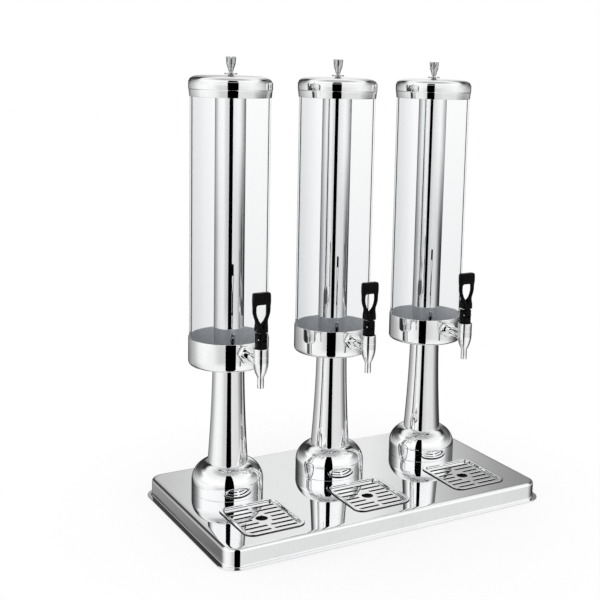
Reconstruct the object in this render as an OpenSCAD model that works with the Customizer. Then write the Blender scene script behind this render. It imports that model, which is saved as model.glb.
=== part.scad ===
// Triple juice dispenser: three clear tanks, each with an ice tube, on flared columns that
// stand on one mirror-polished base, with a self-closing tap and a drip tray in front of each.
// Origin: middle of the footprint, at the soles of the feet. +Z is up and -Y is the front.

/* [Base] */
// Length of the base over its flange
base_l = 487; // [470:1:520]
// Depth of the base over its flange
base_w = 285; // [270:1:310]
// Height of the base from the underside of its flange to its top
base_h = 24; // [20:1:34]
// Width of the flange round the foot of the skirt
flange_w = 6; // [4:0.5:10]
// Corner radius of the skirt
skirt_r = 20; // [15:1:30]
// Radius of the rolled top edge
edge_r = 4; // [3:0.5:6]
// Thickness of the pressed sheet
sheet_t = 1.2; // [0.8:0.1:1.6]
// Height of the flange above the table
foot_gap = 1; // [0.5:0.5:4]
// Radius of each rubber foot
foot_r = 10; // [7:0.5:12]

/* [Towers] */
// Distance between neighbouring towers
tower_pitch = 158; // [145:1:170]
// Distance of the tower axes behind the middle of the base
tower_y = 44.5; // [35:0.5:55]
// Radius of the domed foot
dome_r = 48.4; // [44:0.2:54]
// Radius of the foot's round shoulder
dome_edge_r = 27; // [20:0.5:34]
// Height of the foot's upright wall under the shoulder
dome_wall_h = 14; // [6:0.2:22]
// Radius of the column where it stands on the dome
column_low_r = 27; // [22:0.2:30]
// Radius of the column under the cup
column_high_r = 21.1; // [16:0.1:23]
// Height of the cup's underside above the base
cup_z = 176.2; // [160:0.2:200]
// Radius of the clamping rod inside the column
rod_r = 4; // [3:0.5:5]

/* [Tank] */
// Outer radius of the clear tank
tank_r = 52; // [48:0.5:56]
// Wall of the clear tank
tank_wall = 3; // [2:0.5:4]
// Floor of the clear tank
tank_floor = 4; // [3:0.5:6]
// Height of the clear tank
tank_h = 356; // [280:1:420]
// Height of the steel cup that holds the tank
cup_h = 37.4; // [34:0.2:60]
// Thickness of the cup's sheet
cup_t = 1.1; // [0.8:0.1:1.5]
// Radius of the cup's bottom edge
cup_edge_r = 4.6; // [3:0.2:6]
// Thickness of the rubber ring under the tank
seal_h = 5; // [4.6:0.2:8]
// Height of the collar round the tank's mouth
collar_h = 9.4; // [6:0.2:14]
// Outer radius of the ice tube
ice_r = 19.9; // [16:0.1:24]
// Distance of the ice tube's rim below the tank's mouth
ice_drop = 6; // [4:0.5:20]

/* [Lid] */
// How far the lid stands out beyond the tank
lid_over = 2.2; // [1.8:0.1:6]
// Height of the lid's upright band
lid_band = 10.5; // [8:0.5:16]
// Rise of the roof of the lid above its band
lid_rise = 6.8; // [4:0.2:9]
// Width of the lid's round shoulder
lid_shoulder_w = 13; // [8:0.5:20]
// Height of the finial on the lid, from its foot to the tips of its petals
knob_h = 24.7; // [22:0.1:36]
// Radius across the tips of the finial's petals
petal_r = 6.6; // [5:0.1:9]

/* [Tap] */
// Distance of the tap's upright axis in front of the tower's
tap_reach = 98.7; // [92:0.1:115]
// Radius of the tap's barrel
barrel_r = 9.9; // [9.6:0.1:12]
// Height of the tap's shank above the base
shank_z = 201; // [199:0.5:204]
// Radius of the threaded shank
shank_r = 6.2; // [5:0.1:6.5]
// Height of the top of the barrel above the shank's axis
barrel_up = 18.6; // [17:0.1:22]
// Length of the straight spout
spout_l = 14.2; // [8:0.2:24]
// Outer radius of the spout
spout_r = 4.3; // [4.1:0.1:5]
// Side of the square bonnet
bonnet_w = 13.4; // [12:0.2:14]
// Height of the bonnet above the barrel
bonnet_h = 19.4; // [18.6:0.2:24]
// Width of the lever's paddle
paddle_w = 24.2; // [20:0.2:32]
// Height of the lever above the bonnet
lever_h = 51.8; // [46:0.2:66]

/* [Drip trays] */
// Length of each tray over its rim
tray_l = 85; // [76:1:96]
// Depth of each tray over its rim
tray_w = 97; // [86:1:104]
// Distance of the tray's middle in front of the tower axis
tray_reach = 107; // [104:0.5:112]
// Corner radius of the rim
tray_r = 14; // [10:0.5:18]
// Width of the rim
rim_w = 5.2; // [4:0.2:7]
// Thickness of the rim
rim_t = 1.6; // [1:0.1:2.4]
// Depth of the tray below its rim
tray_deep = 17; // [12:0.5:18]
// How far the grille lies below the top of the rim
grille_drop = 3.4; // [2:0.2:6]
// Thickness of the grille
grille_t = 1.8; // [1:0.1:3]
// Distance between rows of slots
slot_pitch = 11.2; // [9:0.1:12]
// Width of a slot
slot_w = 4.6; // [3:0.1:6]
// Radius of the finger hole in the grille
hole_r = 7.8; // [6:0.1:9]

/* [Hidden] */
SIDES = ["left", "middle", "right"];
TOWER_PARTS = [
    "dome", "column", "cup", "tank", "collar", "ice_tube", "lid", "knob",
    "tap_body", "bonnet", "lever", "lever_pin", "stem", "seat_cup", "spring",
    "drip_tray", "drip_grille",
];
SHARED_PARTS = [
    "base_shell", "feet", "foot_studs", "tie_rods", "rod_nuts",
    "tank_seals", "tap_nuts", "tap_washers",
];

$fn = 96;
arc_n = 6;
fine_n = 18;

// Clearances and overruns
cut = 1;
screw_gap = 0.05;
pin_gap = 0.05;
slide_gap = 0.3;
tank_gap = 0.2;

// Base
plate_z = foot_gap + base_h;
root_r = 1.5;
arc_x = base_l / 2 - flange_w - skirt_r;
arc_y = base_w / 2 - flange_w - skirt_r;
foot_flare = 1;
stud_r = 2.5;
stud_l = 12;
foot_h = plate_z - sheet_t;
foot_mid_x = tower_pitch / 2;

// Clamping rod and its nuts
rod_gap = 0.2;
washer_t = 1.4;
washer_r = 13;
nut_t = 6.5;
nut_af = 13;
nut_low_t = 3.4;
washer_low_t = 0.8;
rod_tail = 2;

// Dome and column
seat_step = 0.3;
dome_top_r = column_low_r + seat_step;
dome_flat_r = dome_r - dome_edge_r;
dome_seat_out = max(0, dome_top_r - dome_flat_r);
dome_h = dome_wall_h + sqrt(dome_edge_r * dome_edge_r - dome_seat_out * dome_seat_out);
dome_seat_angle = acos(dome_seat_out / dome_edge_r);
column_wall = 1.5;
// Share of the flare that grows evenly downwards, while the rest gathers at the foot
even_flare_share = 0.3;
column_steps = 12;

// Cup, tank, collar and ice tube
cup_r = tank_r + tank_gap + cup_t;
tank_z = cup_z + cup_t + seal_h;
tank_top = tank_z + tank_h;
tank_in_r = tank_r - tank_wall;
seal_inset = 0.5;
seal_wide = 10;
seal_r = cup_r - cup_edge_r - seal_inset;
seal_in_r = seal_r - seal_wide;
collar_high_t = 1.8;
collar_low_t = 0.8;
collar_high_r = tank_r + collar_high_t;
collar_low_r = tank_r + collar_low_t;
ice_t = 1;
ice_bead_r = 1.1;
ice_gap = 0.5;
ice_ring_t = 2;
ice_ring_h = 3;
ice_z = tank_z + tank_floor;
ice_h = tank_h - tank_floor - ice_drop;

// Lid and finial
lid_r = tank_r + lid_over;
lid_t = 1.2;
lid_edge_r = 0.8;
plug_gap = 0.8;
plug_h = 7;
boss_r = 6;
boss_h = 7;
knob_stud_r = 2.2;
knob_foot_r = 4.2;
knob_disc_r = 8.3;
knob_disc_t = 1;
knob_disc_lip = 1.2;
knob_neck_r = 2.6;
knob_stem_r = 3.7;
petals = 6;
petal_t = 1.2;
foot_share = 0.06;
disc_share = 0.123;
neck_share = 0.238;
bowl_share = 0.354;
gap_share = 0.7;
bend_share = 0.63;
gap_low_share = 0.08;
gap_high_share = 0.22;
turn_share = 0.25;

// Tap
barrel_top = shank_z + barrel_up;
ogive_h = 21;
ogive_up = 2;
ogive_top = shank_z + ogive_up;
spout_top = ogive_top - ogive_h;
spout_low = spout_top - spout_l;
ogive_drop = barrel_r - spout_r;
ogive_r = (ogive_h * ogive_h + ogive_drop * ogive_drop) / (2 * ogive_drop);
spout_bore_r = 2.9;
chamber_r = 6.8;
seat_down = 10;
seat_z = shank_z - seat_down;
bore_r = 7.5;
bore_up = 6.8;
bore_z = shank_z + bore_up;
rim_r = 8.7;
rim_deep = 1.5;
shank_bore_r = 4.2;
neck_r = 6.6;
shoulder_af = 20;
shoulder_t = 6;
washer_af_r = 10;
washer_out_t = 2.5;
washer_in_t = 3;
tap_nut_af = 19;
tap_nut_t = 5;
shank_tail = 1;

// Bonnet, pin, stem, spring and seat cup, along the tap's axis
bonnet_r = 4;
bonnet_d = 14;
skirt_drop = 9;
skirt_out_r = bore_r - screw_gap;
flange_out_r = rim_r - 2 * screw_gap;
pocket_r = 5.5;
web_up = 1.4;
web_z = barrel_top + web_up;
bonnet_top = barrel_top + bonnet_h;
pin_y = 4.6;
pin_r = 1.2;
pin_down = 7.1;
pin_z = bonnet_top - pin_down;
eye_r = 2.2;
slot_half = 3.1;
floor_down = 3.4;
slot_floor = pin_z - floor_down;
tongue_half = slot_half - slide_gap;
tongue_back = 1.6;
foot_top = 0.9;
foot_low = 1.2;
stem_r = 1.5;
stem_notch = 1.75;
head_r = 2.5;
head_t = 2;
stem_flange_r = 5;
stem_flange_t = 1;
cup_rubber_r = 6.3;
cup_rubber_h = 4.6;
stem_end = 1;
wire_r = 0.45;
coil_r = 3.9;
coil_turns = 7;
coil_rings = 10;
coil_sides = 6;

// Lever, above the bonnet
neck_gap = 1.2;
lever_z = bonnet_top + neck_gap;
lever_top = bonnet_top + lever_h;
neck_h = 6;
paddle_t = 5.4;
grip_t = 8.4;
rim_side = 4.8;
eye_low = 5.4;
eye_high = 34.8;
lever_round = 2.4;

// Drip tray and grille
tray_t = 1;
well_gap = 0.5;
well_l = tray_l - 2 * rim_w;
well_w = tray_w - 2 * rim_w;
well_r = tray_r - rim_w;
ledge_w = 2.4;
grille_gap = 0.4;
grille_top = rim_t - grille_drop;
ledge_z = grille_top - grille_t;
slot_end = 34;
slot_inner_shares = [0.07, 0.07, 0.26, 0.38, 0.26, 0.07, 0.07];
slot_rows = len(slot_inner_shares);

// Points of an arc about (cx, cz), from angle a0 to a1
function arc(cx, cz, r, a0, a1, n = arc_n) = [
    for (k = [0 : n])
        let (a = a0 + (a1 - a0) * k / n)
        [cx + r * cos(a), cz + r * sin(a)]
];

// A smooth step from 0 to 1
function ease(s) = (1 - cos(180 * s)) / 2;

module rounded_rect(l, w, r) {
    square([l - 2 * r, w], center = true);
    square([l, w - 2 * r], center = true);
    for (sx = [-1, 1], sy = [-1, 1]) {
        translate([sx * (l / 2 - r), sy * (w / 2 - r)]) circle(r = r);
    }
}

module ring(r_out, r_in, h) {
    difference() {
        cylinder(r = r_out, h = h);
        translate([0, 0, -cut]) cylinder(r = r_in, h = h + 2 * cut);
    }
}

module hex_nut(af, r_bore, h) {
    difference() {
        cylinder(r = af / sqrt(3), h = h, $fn = 6);
        translate([0, 0, -cut]) cylinder(r = r_bore, h = h + 2 * cut);
    }
}

// Lays a piece made along +Z along -Y, as the taps' shanks run
module forwards() {
    rotate([90, 0, 0]) children();
}

// Puts a piece on the base plate at one tower
module at_tower(i) {
    translate([(i - (len(SIDES) - 1) / 2) * tower_pitch, tower_y, plate_z]) children();
}

module at_tap(i) {
    at_tower(i) translate([0, -tap_reach, 0]) children();
}

// Pressed base

// Section of the pressing, from the corner arc's centre outwards
function base_section() = concat(
    [[0, plate_z]],
    arc(skirt_r - edge_r, plate_z - edge_r, edge_r, 90, 0),
    arc(skirt_r + root_r, foot_gap + sheet_t + root_r, root_r, 180, 270),
    [[skirt_r + flange_w, foot_gap + sheet_t], [skirt_r + flange_w, foot_gap]],
    arc(skirt_r + root_r, foot_gap + sheet_t + root_r, root_r + sheet_t, 270, 180),
    arc(skirt_r - edge_r, plate_z - edge_r, edge_r - sheet_t, 0, 90),
    [[0, plate_z - sheet_t]]
);

// One straight side of the pressing, length l, running along X
module base_side(l) {
    translate([l / 2, 0, 0]) rotate([90, 0, -90]) linear_extrude(l) polygon(base_section());
}

module pressing() {
    translate([-arc_x, -arc_y, plate_z - sheet_t]) cube([2 * arc_x, 2 * arc_y, sheet_t]);
    for (q = [0 : 3]) {
        sx = (q == 0 || q == 3) ? 1 : -1;
        sy = q < 2 ? 1 : -1;
        translate([sx * arc_x, sy * arc_y, 0]) rotate([0, 0, 90 * q])
            rotate_extrude(angle = 90) polygon(base_section());
    }
    translate([0, -arc_y, 0]) base_side(2 * arc_x);
    translate([0, arc_y, 0]) rotate([0, 0, 180]) base_side(2 * arc_x);
    translate([-arc_x, 0, 0]) rotate([0, 0, -90]) base_side(2 * arc_y);
    translate([arc_x, 0, 0]) rotate([0, 0, 90]) base_side(2 * arc_y);
}

module base_shell() {
    color("gainsboro") difference() {
        pressing();
        for (i = [0 : len(SIDES) - 1]) at_tower(i) {
            translate([0, 0, -sheet_t - cut]) cylinder(r = rod_r + rod_gap, h = sheet_t + 2 * cut);
            translate([0, -tray_reach, -sheet_t - cut]) linear_extrude(sheet_t + 2 * cut)
                rounded_rect(well_l + 2 * well_gap, well_w + 2 * well_gap, well_r + well_gap);
        }
    }
}

module foot_places() {
    for (x = [-arc_x, -foot_mid_x, foot_mid_x, arc_x], y = [-arc_y, arc_y]) {
        translate([x, y, 0]) children();
    }
}

module feet() {
    color("dimgray") foot_places() difference() {
        cylinder(r1 = foot_r - foot_flare, r2 = foot_r, h = foot_h);
        translate([0, 0, foot_h - stud_l]) cylinder(r = stud_r + screw_gap, h = stud_l + cut);
    }
}

module foot_studs() {
    color("silver") foot_places() translate([0, 0, foot_h - stud_l]) cylinder(r = stud_r, h = stud_l);
}

// Clamping rods

module tie_rods() {
    rod_low = -sheet_t - washer_t - nut_t - rod_tail;
    rod_high = cup_z + cup_t + washer_low_t + nut_low_t;
    color("silver") for (i = [0 : len(SIDES) - 1]) at_tower(i)
        translate([0, 0, rod_low]) cylinder(r = rod_r, h = rod_high - rod_low);
}

module rod_nuts() {
    color("silver") for (i = [0 : len(SIDES) - 1]) at_tower(i) {
        translate([0, 0, -sheet_t - washer_t]) ring(washer_r, rod_r + screw_gap, washer_t);
        translate([0, 0, -sheet_t - washer_t - nut_t]) hex_nut(nut_af, rod_r + screw_gap, nut_t);
        translate([0, 0, cup_z + cup_t]) ring(washer_r, rod_r + screw_gap, washer_low_t);
        translate([0, 0, cup_z + cup_t + washer_low_t])
            hex_nut(nut_af, rod_r + screw_gap, nut_low_t);
    }
}

// Tower

module dome() {
    inner_r = dome_edge_r - sheet_t;
    color("gainsboro") difference() {
        rotate_extrude() polygon(concat(
            [[dome_r, 0]],
            arc(dome_flat_r, dome_wall_h, dome_edge_r, 0, dome_seat_angle, fine_n),
            [[0, dome_h], [0, dome_h - sheet_t]],
            arc(dome_flat_r, dome_wall_h, inner_r, dome_seat_angle, 0, fine_n),
            [[dome_r - sheet_t, 0]]
        ));
        cylinder(r = rod_r + rod_gap, h = 2 * dome_h);
    }
}

// Radius of the column at a share of its height, counted from the top down
function column_r(s) = column_high_r
    + (column_low_r - column_high_r) * (even_flare_share * s + (1 - even_flare_share) * s * s);

module column() {
    l = cup_z - dome_h;
    shares = [for (i = [0 : column_steps]) i / column_steps];
    color("gainsboro") translate([0, 0, dome_h]) rotate_extrude() polygon(concat(
        [for (s = shares) [column_r(1 - s), l * s]],
        [for (s = shares) [column_r(s) - column_wall, l * (1 - s)]]
    ));
}

module cup() {
    color("gainsboro") difference() {
        translate([0, 0, cup_z]) rotate_extrude() polygon(concat(
            [[0, 0]],
            arc(cup_r - cup_edge_r, cup_edge_r, cup_edge_r, -90, 0),
            [[cup_r, cup_h], [cup_r - cup_t, cup_h]],
            arc(cup_r - cup_edge_r, cup_edge_r, cup_edge_r - cup_t, 0, -90),
            [[0, cup_t]]
        ));
        translate([0, 0, cup_z - cut]) cylinder(r = rod_r + rod_gap, h = cup_t + 2 * cut);
        translate([0, 0, shank_z]) forwards() cylinder(r = shank_r + rod_gap, h = cup_r + cut);
    }
}

module tank_seals() {
    color("dimgray") for (i = [0 : len(SIDES) - 1]) at_tower(i)
        translate([0, 0, cup_z + cup_t]) ring(seal_r, seal_in_r, seal_h);
}

module tank() {
    color("aliceblue", 0.35) difference() {
        union() {
            translate([0, 0, tank_z]) difference() {
                cylinder(r = tank_r, h = tank_h);
                translate([0, 0, tank_floor]) cylinder(r = tank_in_r, h = tank_h);
            }
            translate([0, 0, ice_z])
                ring(ice_r + ice_gap + ice_ring_t, ice_r + ice_gap, ice_ring_h);
        }
        translate([0, -ice_r - ice_gap - ice_ring_t - cut, shank_z]) forwards()
            cylinder(r = shank_r + rod_gap, h = tank_r);
    }
}

module collar() {
    color("gainsboro") translate([0, 0, tank_top - collar_h]) rotate_extrude() polygon([
        [tank_r + screw_gap, 0],
        [collar_low_r, 0],
        [collar_high_r, collar_h],
        [tank_r + screw_gap, collar_h],
    ]);
}

module ice_tube() {
    color("silver") translate([0, 0, ice_z]) {
        difference() {
            cylinder(r = ice_r, h = ice_h - ice_bead_r);
            translate([0, 0, ice_t]) cylinder(r = ice_r - ice_t, h = ice_h);
        }
        translate([0, 0, ice_h - ice_bead_r]) rotate_extrude()
            translate([ice_r - ice_t + ice_bead_r, 0]) circle(r = ice_bead_r, $fn = 24);
    }
}

// Lid and finial

// Outline of the lid's roof from the band to its flat middle, at a depth d under its outer face
function lid_roof(d) = [
    for (k = [0 : fine_n])
        let (a = 90 * k / fine_n, r = lid_r - lid_edge_r - lid_shoulder_w)
        [r + (lid_shoulder_w - d) * cos(a), lid_band + (lid_rise - d) * sin(a)]
];

module lid() {
    plug_r = tank_in_r - plug_gap;
    under = lid_roof(lid_t);
    color("gainsboro") translate([0, 0, tank_top]) difference() {
        union() {
            rotate_extrude() polygon(concat(
                [[lid_r, 0]],
                arc(lid_r - lid_edge_r, lid_band - lid_edge_r, lid_edge_r, 0, 75),
                lid_roof(0),
                [[0, lid_band + lid_rise], [0, lid_band + lid_rise - lid_t]],
                [for (k = [fine_n : -1 : 0]) under[k]],
                [[lid_r - lid_t, lid_band - lid_edge_r], [lid_r - lid_t, lid_t]],
                [[plug_r, lid_t], [plug_r - lid_t, lid_t]],
                [[plug_r - lid_t, -plug_h], [plug_r, -plug_h], [plug_r, 0]]
            ));
            translate([0, 0, lid_band + lid_rise - boss_h]) cylinder(r = boss_r, h = boss_h - lid_t / 2);
        }
        translate([0, 0, lid_band + lid_rise - boss_h - cut])
            cylinder(r = knob_stud_r + screw_gap, h = boss_h + 2 * cut);
    }
}

module knob() {
    cone_h = knob_h * foot_share;
    disc_z = knob_h * disc_share;
    neck_z = knob_h * neck_share;
    bowl_z = knob_h * bowl_share;
    bend_z = knob_h * bend_share;
    gap_z = knob_h * gap_share;
    gap_low = petal_r * gap_low_share;
    gap_high = petal_r * gap_high_share;
    color("gainsboro") translate([0, 0, tank_top + lid_band + lid_rise]) {
        difference() {
            rotate_extrude() polygon([
                [0, 0],
                [knob_foot_r, 0],
                [knob_neck_r, cone_h],
                [knob_disc_r, disc_z - knob_disc_t],
                [knob_disc_r, disc_z + knob_disc_lip],
                [knob_disc_r - knob_disc_t, disc_z],
                [knob_neck_r, disc_z],
                [knob_neck_r, neck_z],
                [knob_stem_r, neck_z + knob_disc_t],
                [knob_stem_r, bowl_z],
                [petal_r - petal_t / 2, bend_z],
                [petal_r, knob_h],
                [petal_r - petal_t, knob_h],
                [petal_r - 2 * petal_t, bend_z],
                [0, bowl_z + knob_disc_t],
            ]);
            for (k = [0 : petals - 1]) rotate([0, 0, (k + turn_share) * 360 / petals])
                rotate([90, 0, 0]) linear_extrude(petal_r + cut) polygon([
                    [-gap_low, gap_z],
                    [gap_low, gap_z],
                    [gap_high, knob_h],
                    [gap_high, knob_h + cut],
                    [-gap_high, knob_h + cut],
                    [-gap_high, knob_h],
                ]);
        }
        translate([0, 0, -boss_h]) cylinder(r = knob_stud_r, h = boss_h + cone_h / 2);
    }
}

// Tap

module tap_body() {
    shoulder_y = tap_reach - cup_r - washer_out_t;
    shank_end = tap_reach - tank_in_r + washer_in_t + tap_nut_t + shank_tail;
    color("gainsboro") difference() {
        union() {
            rotate_extrude() polygon(concat(
                [[0, barrel_top], [barrel_r, barrel_top]],
                [for (k = [0 : arc_n])
                    let (dz = ogive_h * k / arc_n)
                    [barrel_r - ogive_r + sqrt(ogive_r * ogive_r - dz * dz), ogive_top - dz]],
                [[spout_r, spout_low], [0, spout_low]]
            ));
            translate([0, shank_end, shank_z]) forwards() cylinder(r = shank_r, h = shank_end);
            translate([0, shoulder_y, shank_z]) forwards() cylinder(r = neck_r, h = shoulder_y);
            translate([0, shoulder_y, shank_z]) forwards() rotate([0, 0, 30])
                cylinder(r = shoulder_af / sqrt(3), h = shoulder_t, $fn = 6);
        }
        translate([0, 0, spout_low - cut]) cylinder(r = spout_bore_r, h = seat_z - spout_low + 2 * cut);
        translate([0, 0, seat_z]) cylinder(r = chamber_r, h = bore_z - seat_z + cut);
        translate([0, 0, bore_z]) cylinder(r = bore_r, h = barrel_top - bore_z + cut);
        translate([0, 0, barrel_top - rim_deep]) cylinder(r = rim_r, h = rim_deep + cut);
        translate([0, shank_end + cut, shank_z]) forwards()
            cylinder(r = shank_bore_r, h = shank_end + cut);
    }
}

// Rubber washers cut to the curve of the cup outside and of the tank inside
module tap_washers() {
    color("dimgray") for (i = [0 : len(SIDES) - 1]) at_tower(i) {
        difference() {
            translate([0, -cup_r + washer_out_t, shank_z]) forwards()
                cylinder(r = washer_af_r, h = 2 * washer_out_t);
            translate([0, 0, cup_z]) cylinder(r = cup_r, h = cup_h);
            translate([0, 0, shank_z]) forwards()
                cylinder(r = shank_r + screw_gap, h = cup_r + 2 * washer_out_t);
        }
        intersection() {
            difference() {
                translate([0, -tank_in_r + washer_in_t, shank_z]) forwards()
                    cylinder(r = washer_af_r, h = washer_in_t);
                translate([0, 0, shank_z]) forwards()
                    cylinder(r = shank_r + screw_gap, h = tank_r);
            }
            translate([0, 0, tank_z]) cylinder(r = tank_in_r, h = tank_h);
        }
    }
}

module tap_nuts() {
    color("silver") for (i = [0 : len(SIDES) - 1]) at_tower(i)
        translate([0, -tank_in_r + washer_in_t + tap_nut_t, shank_z]) forwards()
            hex_nut(tap_nut_af, shank_r + screw_gap, tap_nut_t);
}

module bonnet() {
    color("black") difference() {
        union() {
            translate([0, 0, barrel_top - skirt_drop])
                cylinder(r = skirt_out_r, h = skirt_drop);
            translate([0, 0, barrel_top - rim_deep]) cylinder(r = flange_out_r, h = rim_deep);
            translate([0, 0, barrel_top - rim_deep]) linear_extrude(bonnet_h + rim_deep)
                rounded_rect(bonnet_w, bonnet_d, bonnet_r);
        }
        translate([0, 0, barrel_top - skirt_drop - cut])
            cylinder(r = pocket_r, h = web_z - barrel_top + skirt_drop + cut);
        translate([0, 0, web_z - cut]) cylinder(r = stem_r + pin_gap, h = bonnet_h);
        translate([-slot_half, -bonnet_d, slot_floor])
            cube([2 * slot_half, 2 * bonnet_d, bonnet_h]);
        translate([-bonnet_w, -pin_y, pin_z]) rotate([0, 90, 0])
            cylinder(r = pin_r + pin_gap, h = 2 * bonnet_w);
    }
}

module lever_pin() {
    color("silver") translate([-bonnet_w / 2 + slide_gap, -pin_y, pin_z]) rotate([0, 90, 0])
        cylinder(r = pin_r, h = bonnet_w - 2 * slide_gap);
}

// Half the paddle's width at a share s of its height
function paddle_half(s) = bonnet_w / 2 + (paddle_w - bonnet_w) / 2 * ease(min(1, s / 0.5))
    - paddle_w * 0.02 * ease(max(0, (s - 0.6) / 0.4));

// Half the eye's width at a share s of its height
function eye_half(s) = (paddle_w / 2 - rim_side) * ease(min(1, 0.12 + 0.88 * s / 0.75));

// Half the lever's depth at a share s of its height
function lever_half_t(s) = bonnet_d / 2
    - (bonnet_d - paddle_t) / 2 * ease(min(1, s / 0.25))
    + (grip_t - paddle_t) / 2 * ease(max(0, min(1, (s - 0.55) / 0.25)));

// Heights along the paddle, as shares
paddle_shares = [0, 0.08, 0.16, 0.24, 0.32, 0.4, 0.5, 0.6, 0.7, 0.8, 0.9];
eye_shares = [0, 0.15, 0.3, 0.45, 0.6, 0.75, 1];

module paddle_outline() {
    h = lever_top - lever_z - neck_h;
    right = [for (s = paddle_shares) [paddle_half(s), neck_h + s * h]];
    top_w = paddle_half(1) - lever_round;
    corner = arc(top_w, neck_h + h - lever_round, lever_round, 0, 90);
    half = concat([[bonnet_w / 2, 0]], right, corner);
    polygon(concat(half, [for (k = [len(half) - 1 : -1 : 0]) [-half[k][0], half[k][1]]]));
}

module eye_outline() {
    h = eye_high - eye_low;
    half = [for (s = eye_shares) [eye_half(s), eye_low + s * h]];
    polygon(concat(half, [for (k = [len(half) - 1 : -1 : 0]) [-half[k][0], half[k][1]]]));
}

module lever_side() {
    h = lever_top - lever_z - neck_h;
    back = [for (s = paddle_shares) [lever_half_t(s), neck_h + s * h]];
    corner = arc(lever_half_t(1) - lever_round, neck_h + h - lever_round, lever_round, 0, 90);
    half = concat([[bonnet_d / 2, 0]], back, corner);
    polygon(concat(half, [for (k = [len(half) - 1 : -1 : 0]) [-half[k][0], half[k][1]]]));
}

module lever() {
    color("black") difference() {
        union() {
            intersection() {
                translate([0, bonnet_d, lever_z]) rotate([90, 0, 0])
                    linear_extrude(2 * bonnet_d) paddle_outline();
                translate([-paddle_w, 0, lever_z]) rotate([90, 0, 90])
                    linear_extrude(2 * paddle_w) lever_side();
                translate([0, 0, lever_z]) linear_extrude(lever_h)
                    rounded_rect(paddle_w + bonnet_r, bonnet_d, bonnet_r / 2);
            }
            translate([-tongue_half, -pin_y, pin_z]) rotate([0, 90, 0])
                cylinder(r = eye_r, h = 2 * tongue_half);
            translate([-tongue_half, -pin_y - eye_r, pin_z])
                cube([2 * tongue_half, eye_r + tongue_back, lever_z - pin_z + neck_gap]);
            translate([-tongue_half, -pin_y, pin_z - foot_low])
                cube([2 * tongue_half, pin_y + head_r, foot_low + foot_top]);
        }
        translate([0, bonnet_d, lever_z]) rotate([90, 0, 0])
            linear_extrude(2 * bonnet_d) eye_outline();
        translate([-stem_notch, -stem_notch, pin_z - foot_low - cut])
            cube([2 * stem_notch, bonnet_d, foot_low + foot_top + 2 * cut]);
        translate([-bonnet_w, -pin_y, pin_z]) rotate([0, 90, 0])
            cylinder(r = pin_r + pin_gap, h = 2 * bonnet_w);
    }
}

module stem() {
    head_z = pin_z + foot_top + slide_gap;
    flange_z = seat_z + cup_rubber_h;
    color("silver") rotate_extrude() polygon([
        [0, seat_z + stem_end],
        [stem_r, seat_z + stem_end],
        [stem_r, flange_z],
        [stem_flange_r, flange_z],
        [stem_flange_r, flange_z + stem_flange_t],
        [stem_r, flange_z + stem_flange_t],
        [stem_r, head_z],
        [head_r, head_z],
        [head_r, head_z + head_t],
        [0, head_z + head_t],
    ]);
}

module seat_cup() {
    color("dimgray") translate([0, 0, seat_z]) difference() {
        cylinder(r1 = cup_rubber_r - stem_end, r2 = cup_rubber_r, h = cup_rubber_h);
        translate([0, 0, stem_end]) cylinder(r = stem_r + screw_gap, h = cup_rubber_h);
    }
}

// Closing spring: a wound wire between the stem's flange and the bonnet
spring_low = seat_z + cup_rubber_h + stem_flange_t + wire_r;
spring_high = web_z - wire_r;
coil_pitch = (spring_high - spring_low) / coil_turns;
coil_steps = coil_turns * coil_rings;

function coil_point(k, j) =
    let (a = 360 * k / coil_rings, b = 360 * j / coil_sides, r = coil_r + wire_r * cos(b))
    [r * cos(a), r * sin(a), spring_low + coil_pitch * k / coil_rings + wire_r * sin(b)];

module spring() {
    points = [for (k = [0 : coil_steps], j = [0 : coil_sides - 1]) coil_point(k, j)];
    walls = [for (k = [0 : coil_steps - 1], j = [0 : coil_sides - 1], h = [0, 1])
        let (a = k * coil_sides, n = (j + 1) % coil_sides)
        h == 0 ? [a + j, a + n, a + coil_sides + n] : [a + j, a + coil_sides + n, a + coil_sides + j]];
    low_cap = [for (j = [1 : coil_sides - 2]) [0, j + 1, j]];
    last = coil_steps * coil_sides;
    high_cap = [for (j = [1 : coil_sides - 2]) [last, last + j, last + j + 1]];
    color("silver") polyhedron(points, concat(walls, low_cap, high_cap));
}

// Least gap between one turn of the closing spring and the next
echo(spring_gap = coil_pitch - 2 * wire_r);

// Drip tray

module drip_tray() {
    color("gainsboro") translate([0, -tray_reach, 0]) difference() {
        union() {
            linear_extrude(rim_t) rounded_rect(tray_l, tray_w, tray_r);
            translate([0, 0, ledge_z - tray_t]) linear_extrude(rim_t - ledge_z + tray_t)
                rounded_rect(well_l, well_w, well_r);
            translate([0, 0, rim_t - tray_deep]) linear_extrude(tray_deep)
                rounded_rect(well_l - 2 * ledge_w + 2 * tray_t, well_w - 2 * ledge_w + 2 * tray_t,
                    well_r - ledge_w + tray_t);
        }
        translate([0, 0, ledge_z]) linear_extrude(tray_deep)
            rounded_rect(well_l - 2 * tray_t, well_w - 2 * tray_t, well_r - tray_t);
        translate([0, 0, rim_t - tray_deep + tray_t]) linear_extrude(tray_deep)
            rounded_rect(well_l - 2 * ledge_w, well_w - 2 * ledge_w, well_r - ledge_w);
    }
}

module slot(x0, x1) {
    square_l = x1 - x0 - slot_w;
    translate([(x0 + x1) / 2, 0]) square([square_l, slot_w], center = true);
    for (s = [-1, 1]) translate([(x0 + x1) / 2 + s * square_l / 2, 0]) circle(r = slot_w / 2);
}

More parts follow.
